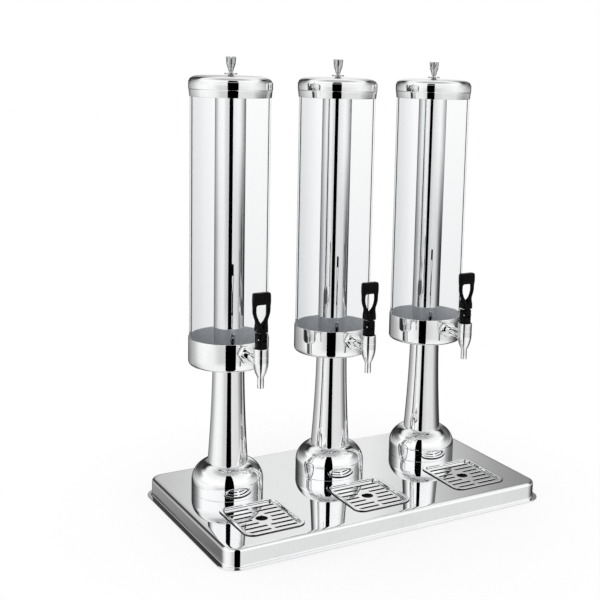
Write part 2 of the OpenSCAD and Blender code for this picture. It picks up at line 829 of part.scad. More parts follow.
module drip_grille() {
    l = well_l - 2 * tray_t - 2 * grille_gap;
    w = well_w - 2 * tray_t - 2 * grille_gap;
    color("silver") translate([0, -tray_reach, ledge_z]) linear_extrude(grille_t) difference() {
        rounded_rect(l, w, well_r - tray_t - grille_gap);
        circle(r = hole_r);
        for (k = [0 : slot_rows - 1]) {
            inner = slot_end * slot_inner_shares[k];
            translate([0, (k - (slot_rows - 1) / 2) * slot_pitch]) {
                slot(inner, slot_end);
                slot(-slot_end, -inner);
            }
        }
    }
}

base_shell();
feet();
foot_studs();
tie_rods();
rod_nuts();
tank_seals();
tap_nuts();
tap_washers();

// Nodes that each tower has for itself
for (i = [0 : len(SIDES) - 1]) {
    side = str("_", SIDES[i]);
    at_tower(i) dome();
    at_tower(i) column();
    at_tower(i) cup();
    at_tower(i) tank();
    at_tower(i) collar();
    at_tower(i) ice_tube();
    at_tower(i) lid();
    at_tower(i) knob();
    at_tap(i) tap_body();
    at_tap(i) bonnet();
    at_tap(i) lever();
    at_tap(i) lever_pin();
    at_tap(i) stem();
    at_tap(i) seat_cup();
    at_tap(i) spring();
    at_tower(i) drip_tray();
    at_tower(i) drip_grille();
}
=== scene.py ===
# %% [markdown]
# # A triple juice dispenser in polished steel
# Three clear juice towers stand on one mirror-polished base. Every piece is built here as a mesh round
# the solid model, which gives the places and the sizes. The pieces are nearly all turned or pressed
# metal, so two helpers carry the lesson: one spins a profile, the other sweeps it round a rectangle.

# %% Load the solid model
import math

import bmesh
import bpy
from mathutils import Matrix, Vector


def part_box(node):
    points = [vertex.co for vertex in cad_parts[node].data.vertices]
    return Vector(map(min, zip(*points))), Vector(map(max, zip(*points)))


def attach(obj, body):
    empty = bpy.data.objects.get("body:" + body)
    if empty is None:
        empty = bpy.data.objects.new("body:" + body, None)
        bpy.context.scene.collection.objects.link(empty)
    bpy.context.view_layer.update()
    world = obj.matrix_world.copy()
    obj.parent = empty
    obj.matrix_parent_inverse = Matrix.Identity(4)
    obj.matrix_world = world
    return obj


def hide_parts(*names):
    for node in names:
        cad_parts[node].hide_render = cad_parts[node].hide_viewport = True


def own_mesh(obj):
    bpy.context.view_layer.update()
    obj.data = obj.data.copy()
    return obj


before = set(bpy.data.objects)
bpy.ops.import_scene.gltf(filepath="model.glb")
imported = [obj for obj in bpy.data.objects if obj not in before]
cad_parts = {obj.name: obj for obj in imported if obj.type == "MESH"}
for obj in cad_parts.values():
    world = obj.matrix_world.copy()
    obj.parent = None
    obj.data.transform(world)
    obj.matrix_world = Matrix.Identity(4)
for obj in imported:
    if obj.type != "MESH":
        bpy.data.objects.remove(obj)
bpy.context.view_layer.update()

# %% [markdown]
# ## Where the towers stand
# The solids already stand in their places, so the places are read from them: the tank gives a tower's
# axis, the underside of the round foot gives the top of the base, and the lever's pin and the valve's
# stem give the axis of the tap.

# %% Places read from the solids
MM = 0.001
SIDES = ("left", "middle", "right")


def middle(node):
    low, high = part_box(node)
    return (low + high) / 2


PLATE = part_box("dome_left")[0].z
TOWER = {s: Vector((middle(f"tank_{s}").x, middle(f"tank_{s}").y, PLATE)) for s in SIDES}
TAP = {s: Vector((middle(f"lever_pin_{s}").x, middle(f"stem_{s}").y, PLATE)) for s in SIDES}
TRAY = {s: Vector((middle(f"drip_tray_{s}").x, middle(f"drip_tray_{s}").y, PLATE)) for s in SIDES}
print("tower axes:", {s: tuple(round(c, 4) for c in TOWER[s]) for s in SIDES})

# %% [markdown]
# ## From points to a piece
# Each piece is a list of points and faces. It is shaded smooth, with creases kept where two faces meet at
# more than a set angle, and it is then tied to its body and its finish, and the solid it stands for is
# hidden. Nearly every piece exists three times, so a second helper makes it once for each tower.

# %% Make a piece from points and faces
CREASE = math.radians(32)
WELD = 0.00001
LOOKS = {}


def make_piece(name, points, faces, body, finish, nodes, slot, crease=CREASE, weld=0.0):
    mesh = bpy.data.meshes.new(name)
    mesh.from_pydata([tuple(p) for p in points], [], faces)
    mesh.validate()
    work = bmesh.new()
    work.from_mesh(mesh)
    if weld:
        bmesh.ops.remove_doubles(work, verts=work.verts, dist=weld)
    bmesh.ops.recalc_face_normals(work, faces=work.faces)
    work.to_mesh(mesh)
    work.free()
    mesh.shade_smooth()
    mesh.set_sharp_from_angle(angle=crease)
    piece = bpy.data.objects.new(name, mesh)
    bpy.context.scene.collection.objects.link(piece)
    mesh.materials.append(LOOKS[finish])
    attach(piece, body)
    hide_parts(*nodes)
    return piece


def make_each(name, solid, shape, places, finish, slot, rides=None, **more):
    """Makes a piece for each tower; shape gives its points and faces at a place."""
    pieces = {}
    for s in SIDES:
        body = f"{rides}_{s}" if rides else "dispenser"
        pieces[s] = make_piece(f"{name}_{s}", *shape(places[s]), body, finish, [f"{solid}_{s}"], slot, **more)
    return pieces


def finish_inside(piece, finish, is_inside, at):
    """Gives a second finish to the faces that pass the test."""
    piece.data.materials.append(LOOKS[finish])
    for face in piece.data.polygons:
        if is_inside(face, at):
            face.material_index = 1


# %% [markdown]
# ## Turned pieces
# A lathe needs half an outline. Sharp corners never look real in polished metal, because a real edge
# catches a thin line of light, so an outline's corner may name a radius, and an arc replaces it.

# %% Arcs and round corners
ARC_STEPS = 6


def arc(x, y, radius, start, end, steps):
    """Points on a circle about x, y, from one angle to another in degrees."""
    turns = [math.radians(start + (end - start) * k / steps) for k in range(steps + 1)]
    return [(x + radius * math.cos(a), y + radius * math.sin(a)) for a in turns]


def rounded(outline, closed=True):
    """Outline points (a, b) or (a, b, radius); a corner with a radius becomes an arc."""
    result = []
    count = len(outline)
    for k, corner in enumerate(outline):
        here = Vector(corner[:2])
        radius = corner[2] if len(corner) > 2 else 0
        if not radius or (not closed and k in (0, count - 1)):
            result.append(tuple(here))
            continue
        before = (Vector(outline[k - 1][:2]) - here).normalized()
        after = (Vector(outline[(k + 1) % count][:2]) - here).normalized()
        half = before.angle(after) / 2
        reach = radius / math.tan(half)
        centre = here + (before + after).normalized() * (radius / math.sin(half))
        start = here + before * reach - centre
        end = here + after * reach - centre
        turn = start.angle_signed(end)
        for i in range(ARC_STEPS + 1):
            a = -turn * i / ARC_STEPS
            c, s = math.cos(a), math.sin(a)
            result.append((centre.x + start.x * c - start.y * s, centre.y + start.x * s + start.y * c))
    return result


# %% Spin an outline round an axis
SPIN = 128
FINE_SPIN = 160
SMALL_SPIN = 64


def spin(outline, at, closed=True, steps=SPIN, lie=False):
    """Points and faces of an outline (radius, height) in millimetres, spun about the Z axis through at.
    lie=True spins it about a line along -Y instead, with height measured towards the front."""
    points, rows, faces = [], [], []
    for radius, height in outline:
        count = steps if radius > 0 else 1
        rows.append([len(points) + i for i in range(count)])
        for i in range(count):
            a = 2 * math.pi * i / steps
            x, y = radius * math.cos(a) * MM, radius * math.sin(a) * MM
            h = height * MM
            points.append(at + (Vector((x, -h, y)) if lie else Vector((x, y, h))))
    for low, high in zip(rows, rows[1:] + rows[:1] if closed else rows[1:]):
        for i in range(steps):
            j = (i + 1) % steps
            quad = [low[i % len(low)], low[j % len(low)], high[j % len(high)], high[i % len(high)]]
            face = list(dict.fromkeys(quad))
            if len(face) > 2:
                faces.append(face)
    return points, faces


def joined(*parts):
    """Several (points, faces) as one."""
    points, faces = [], []
    for more_points, more_faces in parts:
        start = len(points)
        points += more_points
        faces += [[start + i for i in face] for face in more_faces]
    return points, faces


# %% [markdown]
# ## Pressed pieces
# The base, the trays and the grilles are rectangles with round corners. The same outline idea works: at
# each step of the outline a loop runs round the rectangle, and neighbouring loops are joined by faces.

# %% Join loops of points by faces
def band(low, high, count):
    """Faces between two closed loops of count points; low and high are the numbers of their first points."""
    return [[low + i, low + (i + 1) % count, high + (i + 1) % count, high + i] for i in range(count)]


def bar(rings, count):
    """Faces of a bar through rings of count points each, with a cap at both ends."""
    faces = []
    for k in range(rings - 1):
        faces += band(k * count, (k + 1) * count, count)
    last = (rings - 1) * count
    return faces + [list(range(count)), list(range(last, last + count))]


def wall_between(low_loop, high_loop):
    return low_loop + high_loop, band(0, len(low_loop), len(low_loop))


def flat_sheet(loops):
    """Fills the flat region between an outer loop and the holes in it with triangles."""
    sheet = bmesh.new()
    for loop in loops:
        corners = [sheet.verts.new(p) for p in loop]
        for a, b in zip(corners, corners[1:] + corners[:1]):
            sheet.edges.new((a, b))
    bmesh.ops.triangle_fill(sheet, use_beauty=True, edges=sheet.edges[:])
    sheet.verts.index_update()
    points = [v.co.copy() for v in sheet.verts]
    faces = [[v.index for v in f.verts] for f in sheet.faces]
    sheet.free()
    return points, faces


# %% Sweep an outline round a rectangle
CORNER_STEPS = 14


def loop_round(at, half_x, half_y, radius, height=0):
    """Points round a rectangle with its corner arcs' centres at half_x, half_y."""
    loop = []
    for sx, sy, start in ((1, 1, 0), (-1, 1, 90), (-1, -1, 180), (1, -1, 270)):
        loop += arc(sx * half_x, sy * half_y, radius, start, start + 90, CORNER_STEPS)
    return [at + Vector((x, y, height)) * MM for x, y in loop]


def sweep_round(at, half_x, half_y, outline, closed=True):
    points, faces = [], []
    for radius, height in outline:
        points += loop_round(at, half_x, half_y, radius, height)
    rings = len(outline)
    count = len(points) // rings
    for k in range(rings if closed else rings - 1):
        faces += band(k * count, (k + 1) % rings * count, count)
    return points, faces


# %% [markdown]
# ## Finishes
# Polished steel is a mirror, so its looks come from very small faults: a soft haze where hands and cloths
# have been, hair-fine polishing marks, and a faint waviness of the sheet. These are shared by several
# metals, so they are node groups. A group gives only masks and heights, and each material keeps its own
# shader.

# %% Small helpers for nodes
def new_group(name, inputs, output):
    group = bpy.data.node_groups.new(name, "ShaderNodeTree")
    for label, value in inputs:
        socket = group.interface.new_socket(label, in_out="INPUT", socket_type="NodeSocketFloat")
        socket.default_value = value
    group.interface.new_socket(output, in_out="OUTPUT", socket_type="NodeSocketFloat")
    return group, group.nodes.new("NodeGroupInput").outputs, group.nodes.new("NodeGroupOutput").inputs[output]


def add_node(tree, kind, sockets=None, **settings):
    """A node with its settings made, and each input linked to a socket or set to a value."""
    node = tree.nodes.new(kind)
    for key, value in settings.items():
        setattr(node, key, value)
    for socket, value in (sockets or {}).items():
        if hasattr(value, "is_output"):
            tree.links.new(value, node.inputs[socket])
        else:
            node.inputs[socket].default_value = value
    return node


def maths(tree, operation, first, second):
    return add_node(tree, "ShaderNodeMath", {0: first, 1: second}, operation=operation).outputs[0]


def dot(tree, vector, direction):
    return add_node(tree, "ShaderNodeVectorMath", {0: vector, 1: direction},
                    operation="DOT_PRODUCT").outputs["Value"]


def spread(tree, value, low_in, high_in, low_out=0.0, high_out=1.0):
    return add_node(tree, "ShaderNodeMapRange",
                    {0: value, 1: low_in, 2: high_in, 3: low_out, 4: high_out}).outputs[0]


def noise(tree, place, scale, detail, **more):
    return add_node(tree, "ShaderNodeTexNoise",
                    {"Vector": place, "Scale": scale, "Detail": detail, **more}).outputs[0]


def blend(tree, factor, first, second):
    """The colour between two colours, each a socket or red, green and blue."""
    ends = {"A": first, "B": second}
    colours = {end: ends[end] if hasattr(ends[end], "is_output") else (*ends[end], 1) for end in ends}
    return add_node(tree, "ShaderNodeMix", {"Factor": factor, **colours}, data_type="RGBA").outputs["Result"]


def set_sockets(shader, **values):
    for label, value in values.items():
        shader.inputs[label.replace("_", " ")].default_value = value


# %% Shared effect: haze of hands and cloths
haze, haze_in, haze_out = new_group("Haze of wiping", [("Size", 14.0), ("Contrast", 0.5)], "Mask")
place = add_node(haze, "ShaderNodeTexCoord").outputs["Object"]
cloud = noise(haze, place, haze_in["Size"], 4.0, Roughness=0.55)
speckle = noise(haze, place, 210.0, 2.0)
cloudy = spread(haze, maths(haze, "MULTIPLY", cloud, speckle), 0.16, 0.42)
haze.links.new(maths(haze, "MULTIPLY", cloudy, haze_in["Contrast"]), haze_out)

# %% Shared effect: waviness and hair-fine polishing marks
waves, waves_in, waves_out = new_group(
    "Sheet waviness", [("Wave size", 9.0), ("Mark size", 900.0), ("Marks", 0.15)], "Height")
place = add_node(waves, "ShaderNodeTexCoord").outputs["Object"]
swell = noise(waves, place, waves_in["Wave size"], 1.0)
drawn_out = add_node(waves, "ShaderNodeMapping", {"Vector": place, "Rotation": (0.3, 0.5, 0.9),
                                                  "Scale": (1.0, 0.06, 0.06)}).outputs[0]
marks = noise(waves, drawn_out, waves_in["Mark size"], 1.0)
faint = maths(waves, "MULTIPLY", marks, waves_in["Marks"])
waves.links.new(maths(waves, "ADD", swell, faint), waves_out)
print("shared effects:", [g.name for g in bpy.data.node_groups])


# %% A finish that follows the haze
def new_look(name):
    look = bpy.data.materials.new(name)
    look.use_nodes = True
    LOOKS[name] = look
    return look.node_tree, look.node_tree.nodes["Principled BSDF"]


def hazed_look(name, clean, wiped, smooth, hazy, haze_size):
    """A new finish whose colour and roughness go from clean to wiped with the haze."""
    tree, shader = new_look(name)
    mask = add_node(tree, "ShaderNodeGroup", {"Size": haze_size, "Contrast": 1.0}, node_tree=haze)
    mask = mask.outputs["Mask"]
    tree.links.new(blend(tree, mask, clean, wiped), shader.inputs["Base Color"])
    tree.links.new(spread(tree, mask, 0.0, 1.0, smooth, hazy), shader.inputs["Roughness"])
    return tree, shader


def add_relief(tree, shader, height, strength, depth):
    bump = add_node(tree, "ShaderNodeBump", {"Height": height, "Strength": strength, "Distance": depth})
    tree.links.new(bump.outputs[0], shader.inputs["Normal"])


# %% [markdown]
# Most of the steel is the same mirror. The ice tube is painted brighter, painted light that makes up for
# the tank's tint in front of it, and the wide base waves a little more. Three kinds are no clear mirrors:
# the cast finial is greyer, the cup is satin inside, and hidden nuts and rods are plain. The cup's inside
# sits deep behind thick plastic, where a renderer soon stops counting bounces of light, so a faint painted
# glow makes up for what is lost. Hardly any light gets out of a tray's pocket, so the steel in it is
# painted nearly black as painted shade.

# %% Metals
def metal(name, dull, bright, smooth, hazy, wave_size=9.0, marks=0.1, depth=0.000008, haze_size=14.0):
    """Polished metal: colour and roughness follow the haze, and the sheet waves a little."""
    tree, shader = hazed_look(name, bright, dull, smooth, hazy, haze_size)
    wave = add_node(tree, "ShaderNodeGroup", {"Wave size": wave_size, "Marks": marks}, node_tree=waves)
    add_relief(tree, shader, wave.outputs["Height"], 1.0, depth)
    set_sockets(shader, Metallic=1.0)
    return shader


STEEL = (0.865, 0.87, 0.875), (0.905, 0.91, 0.915)
SATIN = {"marks": 0.6, "depth": 0.00002}
metal("polished steel", *STEEL, 0.012, 0.035)
# The ice tube's steel is painted brighter: painted light for the tank's tint in front of it.
metal("tube steel", (0.93, 0.935, 0.94), (0.96, 0.965, 0.97), 0.02, 0.05)
metal("base steel", *STEEL, 0.012, 0.03, wave_size=5.0, depth=0.00001)
metal("plated tap", (0.86, 0.865, 0.87), (0.90, 0.905, 0.91), 0.015, 0.05, haze_size=40.0, depth=0.000006)
metal("cast finial", (0.40, 0.405, 0.41), (0.56, 0.565, 0.57), 0.05, 0.12, haze_size=120.0, depth=0.000006)
# Nearly black: painted shade in a tray's pocket and at the foot of the rim's outer edge.
metal("well in painted shade", (0.035, 0.036, 0.038), (0.06, 0.061, 0.063), 0.30, 0.42, haze_size=60.0, **SATIN)
metal("plain steel", (0.50, 0.505, 0.51), (0.66, 0.665, 0.67), 0.24, 0.38, haze_size=60.0, **SATIN)
glowing_satin = metal("satin inside with painted glow", (0.70, 0.71, 0.73), (0.84, 0.85, 0.87), 0.30, 0.42, haze_size=30.0, **SATIN)
# Emission: a painted glow on the cup's inside, in place of light lost behind the thick plastic.
set_sockets(glowing_satin, Metallic=0.2, Emission_Color=(0.52, 0.54, 0.565, 1), Emission_Strength=0.19)

# %% [markdown]
# The tank is clear plastic. It hardly bends the light, and little is seen of it but a grey tint, darker
# lower down, painted shade towards the shaded side, and a painted grey line where that side is seen edge on.
# A shadow of clear plastic is nearly no shadow, so its shader lets shadow rays through.

# %% Clear plastic
SHADED_SIDE = (-0.85, 0.525, 0)
tree, shader = new_look("clear plastic")
mask = add_node(tree, "ShaderNodeGroup", {"Size": 11.0, "Contrast": 1.0}, node_tree=haze).outputs["Mask"]
tree.links.new(spread(tree, mask, 0.0, 1.0, 0.0, 0.012), shader.inputs["Roughness"])
spot = add_node(tree, "ShaderNodeTexCoord").outputs["Generated"]
lift = add_node(tree, "ShaderNodeSeparateXYZ", {0: spot}).outputs["Z"]
side = dot(tree, spot, SHADED_SIDE)
# Tint: darker lower down, and painted shade towards the shaded side.
low_tint_and_painted_shade = spread(tree, side, 0.075, 0.265, 0.03, 0.45)
low_tint_and_painted_shade = maths(tree, "ADD", low_tint_and_painted_shade, spread(tree, lift, 0.0, 1.0, 0.28, 0.0))
tint = blend(tree, low_tint_and_painted_shade, (0.99, 0.992, 0.993), (0.75, 0.765, 0.78))
glance = add_node(tree, "ShaderNodeLayerWeight", {"Blend": 0.5}).outputs["Facing"]
# Painted grey line: shade painted where the shaded side is seen edge on.
painted_edge_line = maths(tree, "MULTIPLY", spread(tree, glance, 0.74, 0.93), spread(tree, side, 0.15, 0.28))
tree.links.new(blend(tree, painted_edge_line, tint, (0.34, 0.35, 0.36)), shader.inputs["Base Color"])
set_sockets(shader, Transmission_Weight=1.0, IOR=1.02)
shadow = add_node(tree, "ShaderNodeLightPath").outputs["Is Shadow Ray"]
clear = add_node(tree, "ShaderNodeBsdfTransparent", {"Color": (0.93, 0.94, 0.94, 1)})
either = add_node(tree, "ShaderNodeMixShader", {0: shadow, 1: shader.outputs[0], 2: clear.outputs[0]})
tree.links.new(either.outputs[0], tree.nodes["Material Output"].inputs["Surface"])


# %% Black plastic and rubber
def moulded(name, dark, light, smooth, hazy, grain, depth, shine=0.5):
    """Moulded plastic or rubber with a fine grain and a trace of dust."""
    tree, shader = hazed_look(name, dark, light, smooth, hazy, haze_size=70.0)
    place = add_node(tree, "ShaderNodeTexCoord").outputs["Object"]
    add_relief(tree, shader, noise(tree, place, grain, 2.0), 0.6, depth)
    set_sockets(shader, Specular_IOR_Level=shine)


moulded("black plastic", (0.0015, 0.0015, 0.0017), (0.0035, 0.0035, 0.004), 0.12, 0.26, 1400.0, 0.00001,
        shine=0.06)
moulded("black rubber", (0.02, 0.02, 0.02), (0.05, 0.05, 0.048), 0.6, 0.8, 900.0, 0.00008)
moulded("pale rubber", (0.60, 0.61, 0.60), (0.74, 0.75, 0.74), 0.4, 0.6, 900.0, 0.00005)
print("finishes:", sorted(LOOKS))

# %% [markdown]
# ## The base
# One steel sheet is drawn into a shallow upside-down tray. Its top edge is rolled over, and a narrow flange
# runs round its foot. The outline follows the sheet from the top, over the edge, down the skirt, out to
# the flange and back up inside, and two flat sheets close the top, with the cut-outs for the trays.

# %% Sizes of the base, from its solid
SHEET = 1.2
EDGE_R = 4.0
SKIRT_R = 20.0
FLAT_R = 12.0
FLANGE = 6.0
FLANGE_R = SHEET * 0.45
ROOT_R = 1.5
base_low, base_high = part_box("base_shell")
BASE_MID = Vector(((base_low.x + base_high.x) / 2, (base_low.y + base_high.y) / 2, 0))
base_ax = (base_high.x - base_low.x) / 2 / MM - FLANGE - SKIRT_R
base_ay = (base_high.y - base_low.y) / 2 / MM - FLANGE - SKIRT_R
top_z, foot_z = base_high.z / MM, base_low.z / MM
print("base in mm:", round(base_ax, 2), round(base_ay, 2), round(top_z, 2), round(foot_z, 2))

# %% Skirt and flange
skirt_outline = rounded([
    (FLAT_R, top_z),
    (SKIRT_R, top_z, EDGE_R),
    (SKIRT_R, foot_z + SHEET, ROOT_R),
    (SKIRT_R + FLANGE, foot_z + SHEET, FLANGE_R),
    (SKIRT_R + FLANGE, foot_z, FLANGE_R),
    (SKIRT_R - SHEET, foot_z, ROOT_R + SHEET),
    (SKIRT_R - SHEET, top_z - SHEET, EDGE_R - SHEET),
    (FLAT_R, top_z - SHEET),
], closed=False)
skirt = sweep_round(BASE_MID, base_ax, base_ay, skirt_outline, closed=False)

# %% Flat top with the cut-outs, and the whole base
WELL_X, WELL_Y, WELL_R = 37.3, 43.3, 8.8
WELL_GAP = 0.5


def top_loops(height):
    """The edge of the flat top and the three cut-outs, at a height."""
    loops = [loop_round(BASE_MID + Vector((0, 0, height * MM)), base_ax, base_ay, FLAT_R)]
    for s in SIDES:
        spot = Vector((TRAY[s].x, TRAY[s].y, height * MM))
        loops.append(loop_round(spot, WELL_X - WELL_R, WELL_Y - WELL_R, WELL_R + WELL_GAP))
    return loops


upper, lower = top_loops(top_z), top_loops(top_z - SHEET)
walls = [wall_between(a, b) for a, b in zip(lower[1:], upper[1:])]
base = make_piece("pressed_base", *joined(skirt, flat_sheet(upper), flat_sheet(lower), *walls),
                  "dispenser", "base steel", ["base_shell"], "polished_steel", weld=WELD)
print("base faces:", len(base.data.polygons))

# %% [markdown]
# ## Foot and column of a tower
# The foot is a hollow spun shell like a bun: an upright wall, a wide round shoulder and a small flat top
# where the column stands. The column is a tube that flares downwards, ever faster towards its foot. Both
# are thin-walled, so their outlines run up outside and down inside.

# %% Round feet
FOOT_R = 48.4
FOOT_WALL_H = 14.0
FOOT_BEVEL = 0.5
SHOULDER_R = 27.0
SHOULDER_STEPS = 30
FOOT_SEAT_R = 27.3
ROD_HOLE_R = 4.2
TOUCH = 0.02
shoulder_mid = FOOT_R - SHOULDER_R
shoulder_end = math.degrees(math.acos((FOOT_SEAT_R - shoulder_mid) / SHOULDER_R))
foot_h = FOOT_WALL_H + SHOULDER_R * math.sin(math.radians(shoulder_end))


def round_foot(at):
    outside = arc(shoulder_mid, FOOT_WALL_H, SHOULDER_R, 0, shoulder_end, SHOULDER_STEPS)
    inside = arc(shoulder_mid, FOOT_WALL_H, SHOULDER_R - SHEET, shoulder_end, 0, SHOULDER_STEPS)
    outline = [(FOOT_R - FOOT_BEVEL, TOUCH), (FOOT_R, FOOT_BEVEL)] + outside
    outline += [(ROD_HOLE_R, foot_h), (ROD_HOLE_R, foot_h - SHEET)] + inside + [(FOOT_R - SHEET, TOUCH)]
    return spin(outline, at, steps=FINE_SPIN)


make_each("round_foot", "dome", round_foot, TOWER, "polished steel", "polished_steel")
print("foot height in mm:", round(foot_h, 2))

# %% Columns
COLUMN_LOW_R = 27.0
COLUMN_HIGH_R = 21.1
COLUMN_WALL = 1.5
COLUMN_STEPS = 24
FLARE = 0.7
CUP_Z = 176.2


def flared_column(at):
    outside = []
    for k in range(COLUMN_STEPS + 1):
        up = k / COLUMN_STEPS
        flare = (1 - FLARE) * (1 - up) + FLARE * (1 - up) ** 2
        radius = COLUMN_HIGH_R + (COLUMN_LOW_R - COLUMN_HIGH_R) * flare
        outside.append((radius, foot_h + (CUP_Z - foot_h) * up))
    inside = [(r - COLUMN_WALL, z) for r, z in reversed(outside)]
    return spin(outside + inside, at)


make_each("flared_column", "column", flared_column, TOWER, "polished steel", "polished_steel")
print("column from", round(foot_h, 2), "to", CUP_Z, "mm above the base")

# %% [markdown]
# ## The cup
# A drawn steel cup with a round bottom edge holds the tank. It is polished outside and left satin inside
# with a faint painted glow, so the faces within its wall get a second finish.

# %% Cups
CUP_R = 53.3
CUP_H = 37.4
CUP_T = 1.1
CUP_EDGE = 4.6
CUP_LIP = 0.5
HAIR = 0.05


def steel_cup(at):
    top, inner, floor = CUP_Z + CUP_H, CUP_R - CUP_T, CUP_Z + CUP_T
    return spin(rounded([
        (ROD_HOLE_R, CUP_Z),
        (CUP_R, CUP_Z, CUP_EDGE),
        (CUP_R, top, CUP_LIP),
        (inner, top, CUP_LIP),
        (inner, floor, CUP_EDGE - CUP_T),
        (ROD_HOLE_R, floor),
    ]), at, steps=FINE_SPIN)


def in_cup(face, at):
    """The faces within the wall. One thin ring of the lower outer edge passes the test as well."""
    from_axis = (face.center - at) / MM
    return from_axis.xy.length < CUP_R - CUP_T + HAIR and from_axis.z > CUP_Z + CUP_T / 2 - HAIR


cups = make_each("steel_cup", "cup", steel_cup, TOWER, "polished steel", "polished_steel")
for s in SIDES:
    finish_inside(cups[s], "satin inside with painted glow", in_cup, TOWER[s])
print("cup", 2 * CUP_R, "mm across")

# %% [markdown]
# ## The clear tank with its collar
# The tank is a thick clear tube with a floor, and a low ring on the floor guides the ice tube. Its rim is
# rounded, because a cut edge of clear plastic glows white. A steel collar that narrows downwards grips it.

# %% Tanks
TANK_R = 52.0
TANK_WALL = 3.0
TANK_FLOOR = 4.0
TANK_FOOT_R, TANK_LIP_R, TANK_ROOT_R = 1.5, 0.6, 2.0
GUIDE_R, GUIDE_T, GUIDE_H = 20.4, 2.0, 3.0
GUIDE_LIP_R, GUIDE_ROOT_R = 0.5, 0.3
TANK_SPIN = 192
TANK_CREASE = math.radians(50)
tank_low, tank_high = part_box("tank_left")
tank_z, tank_top = (tank_low.z - PLATE) / MM, (tank_high.z - PLATE) / MM


def clear_tank(at):
    floor, bore = tank_z + TANK_FLOOR, TANK_R - TANK_WALL
    return spin(rounded([
        (0, tank_z),
        (TANK_R, tank_z, TANK_FOOT_R),
        (TANK_R, tank_top, TANK_LIP_R),
        (bore, tank_top, TANK_LIP_R),
        (bore, floor, TANK_ROOT_R),
        (GUIDE_R + GUIDE_T, floor, GUIDE_ROOT_R),
        (GUIDE_R + GUIDE_T, floor + GUIDE_H, GUIDE_LIP_R),
        (GUIDE_R, floor + GUIDE_H, GUIDE_LIP_R),
        (GUIDE_R, floor, GUIDE_ROOT_R),
        (0, floor),
    ], closed=False), at, closed=False, steps=TANK_SPIN)


make_each("clear_tank", "tank", clear_tank, TOWER, "clear plastic", "clear_plastic", crease=TANK_CREASE)
print("tank from", round(tank_z, 2), "to", round(tank_top, 2), "mm above the base")

# %% Collars
COLLAR_H = 9.4
COLLAR_GAP = 0.05
COLLAR_SHOULDER = 2.2
COLLAR_LOW_T, COLLAR_SHOULDER_T, COLLAR_HIGH_T, COLLAR_LIP_T = 0.8, 1.0, 1.75, 1.5
COLLAR_LIP_H = 0.6


def rim_collar(at):
    low, inner = tank_top - COLLAR_H, TANK_R + COLLAR_GAP
    return spin(rounded([
        (inner, low),
        (TANK_R + COLLAR_LOW_T, low, 0.3),
        (TANK_R + COLLAR_SHOULDER_T, low + COLLAR_SHOULDER, 1.0),
        (TANK_R + COLLAR_HIGH_T, tank_top - COLLAR_LIP_H, 0.4),
        (TANK_R + COLLAR_LIP_T, tank_top),
        (inner, tank_top),
    ]), at, steps=FINE_SPIN)


make_each("rim_collar", "collar", rim_collar, TOWER, "polished steel", "polished_steel")
print("collar", COLLAR_H, "mm high")

# %% [markdown]
# ## The ice tube
# A polished tube with a closed foot holds ice in the juice without thinning it. Its rim is rolled outwards
# into a bead.

# %% Ice tubes
ICE_R = 19.9
ICE_T = 1.0
ICE_FOOT_R = 2.0
BEAD_R = 1.1
BEAD_NECK = 1.5
ice_low, ice_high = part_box("ice_tube_left")
ice_z, ice_top = (ice_low.z - PLATE) / MM, (ice_high.z - PLATE) / MM


def polished_tube(at):
    inner, bead_z = ICE_R - ICE_T, ice_top - BEAD_R
    neck = bead_z - BEAD_NECK
    wall = rounded([(0, ice_z), (ICE_R, ice_z, ICE_FOOT_R), (ICE_R, neck)], closed=False)
    bead = arc(inner + BEAD_R, bead_z, BEAD_R, -80, 180, 13)
    inside = [(inner, neck), (inner, ice_z + ICE_T), (0, ice_z + ICE_T)]
    return spin(wall + bead + inside, at, closed=False)


make_each("polished_tube", "ice_tube", polished_tube, TOWER, "tube steel", "polished_steel", rides="ice_tube")
print("ice tube from", round(ice_z, 2), "to", round(ice_top, 2), "mm above the base")

# %% [markdown]
# ## The lid
# The lid is one spun sheet: a flat roof with a wide round shoulder, an upright band whose lower edge is
# rolled, and a plug ring inside that centres it in the tank. A small finial with six prongs is screwed on
# top.

# %% Lids
LID_R = 54.2
LID_BAND = 10.5
LID_RISE = 6.8
LID_SHOULDER = 13.0
LID_EDGE = 0.8
LID_T = 1.2
LID_FOOT_W, LID_FOOT_R = 2.0, 0.7
PLUG_R = TANK_R - TANK_WALL - 0.8
PLUG_DEEP, PLUG_LIP_R = 7, 0.4
PLUG_STEP = 0.2
ROOF_STEPS = 16
band_z = tank_top + LID_BAND
roof_z = band_z + LID_RISE


def roof(drop):
    """The shoulder from the band to the flat top, then the middle, drop under its outer face."""
    start = LID_R - LID_EDGE - LID_SHOULDER
    turns = [math.pi / 2 * k / ROOF_STEPS for k in range(ROOF_STEPS + 1)]
    shoulder = [(start + (LID_SHOULDER - drop) * math.cos(a), band_z + (LID_RISE - drop) * math.sin(a))
                for a in turns]
    return shoulder + [(0, roof_z - drop)]


def spun_lid(at):
    foot, inner, plug_inner = tank_top + TOUCH, LID_R - LID_T, PLUG_R - LID_T
    outer = rounded([
        (LID_R - LID_FOOT_W, foot),
        (LID_R, foot, LID_FOOT_R),
        (LID_R, band_z, LID_EDGE * 0.9),
        roof(0)[0],
    ], closed=False)
    plug = rounded([
        (inner, band_z - LID_T, 0.5),
        (inner, tank_top + LID_T + PLUG_STEP),
        (PLUG_R, tank_top + LID_T + PLUG_STEP),
        (plug_inner, tank_top + LID_T),
        (plug_inner, tank_top - PLUG_DEEP, PLUG_LIP_R),
        (PLUG_R, tank_top - PLUG_DEEP, PLUG_LIP_R),
        (PLUG_R, foot),
    ], closed=False)
    return spin(outer + roof(0)[1:] + list(reversed(roof(LID_T))) + plug, at, steps=FINE_SPIN)


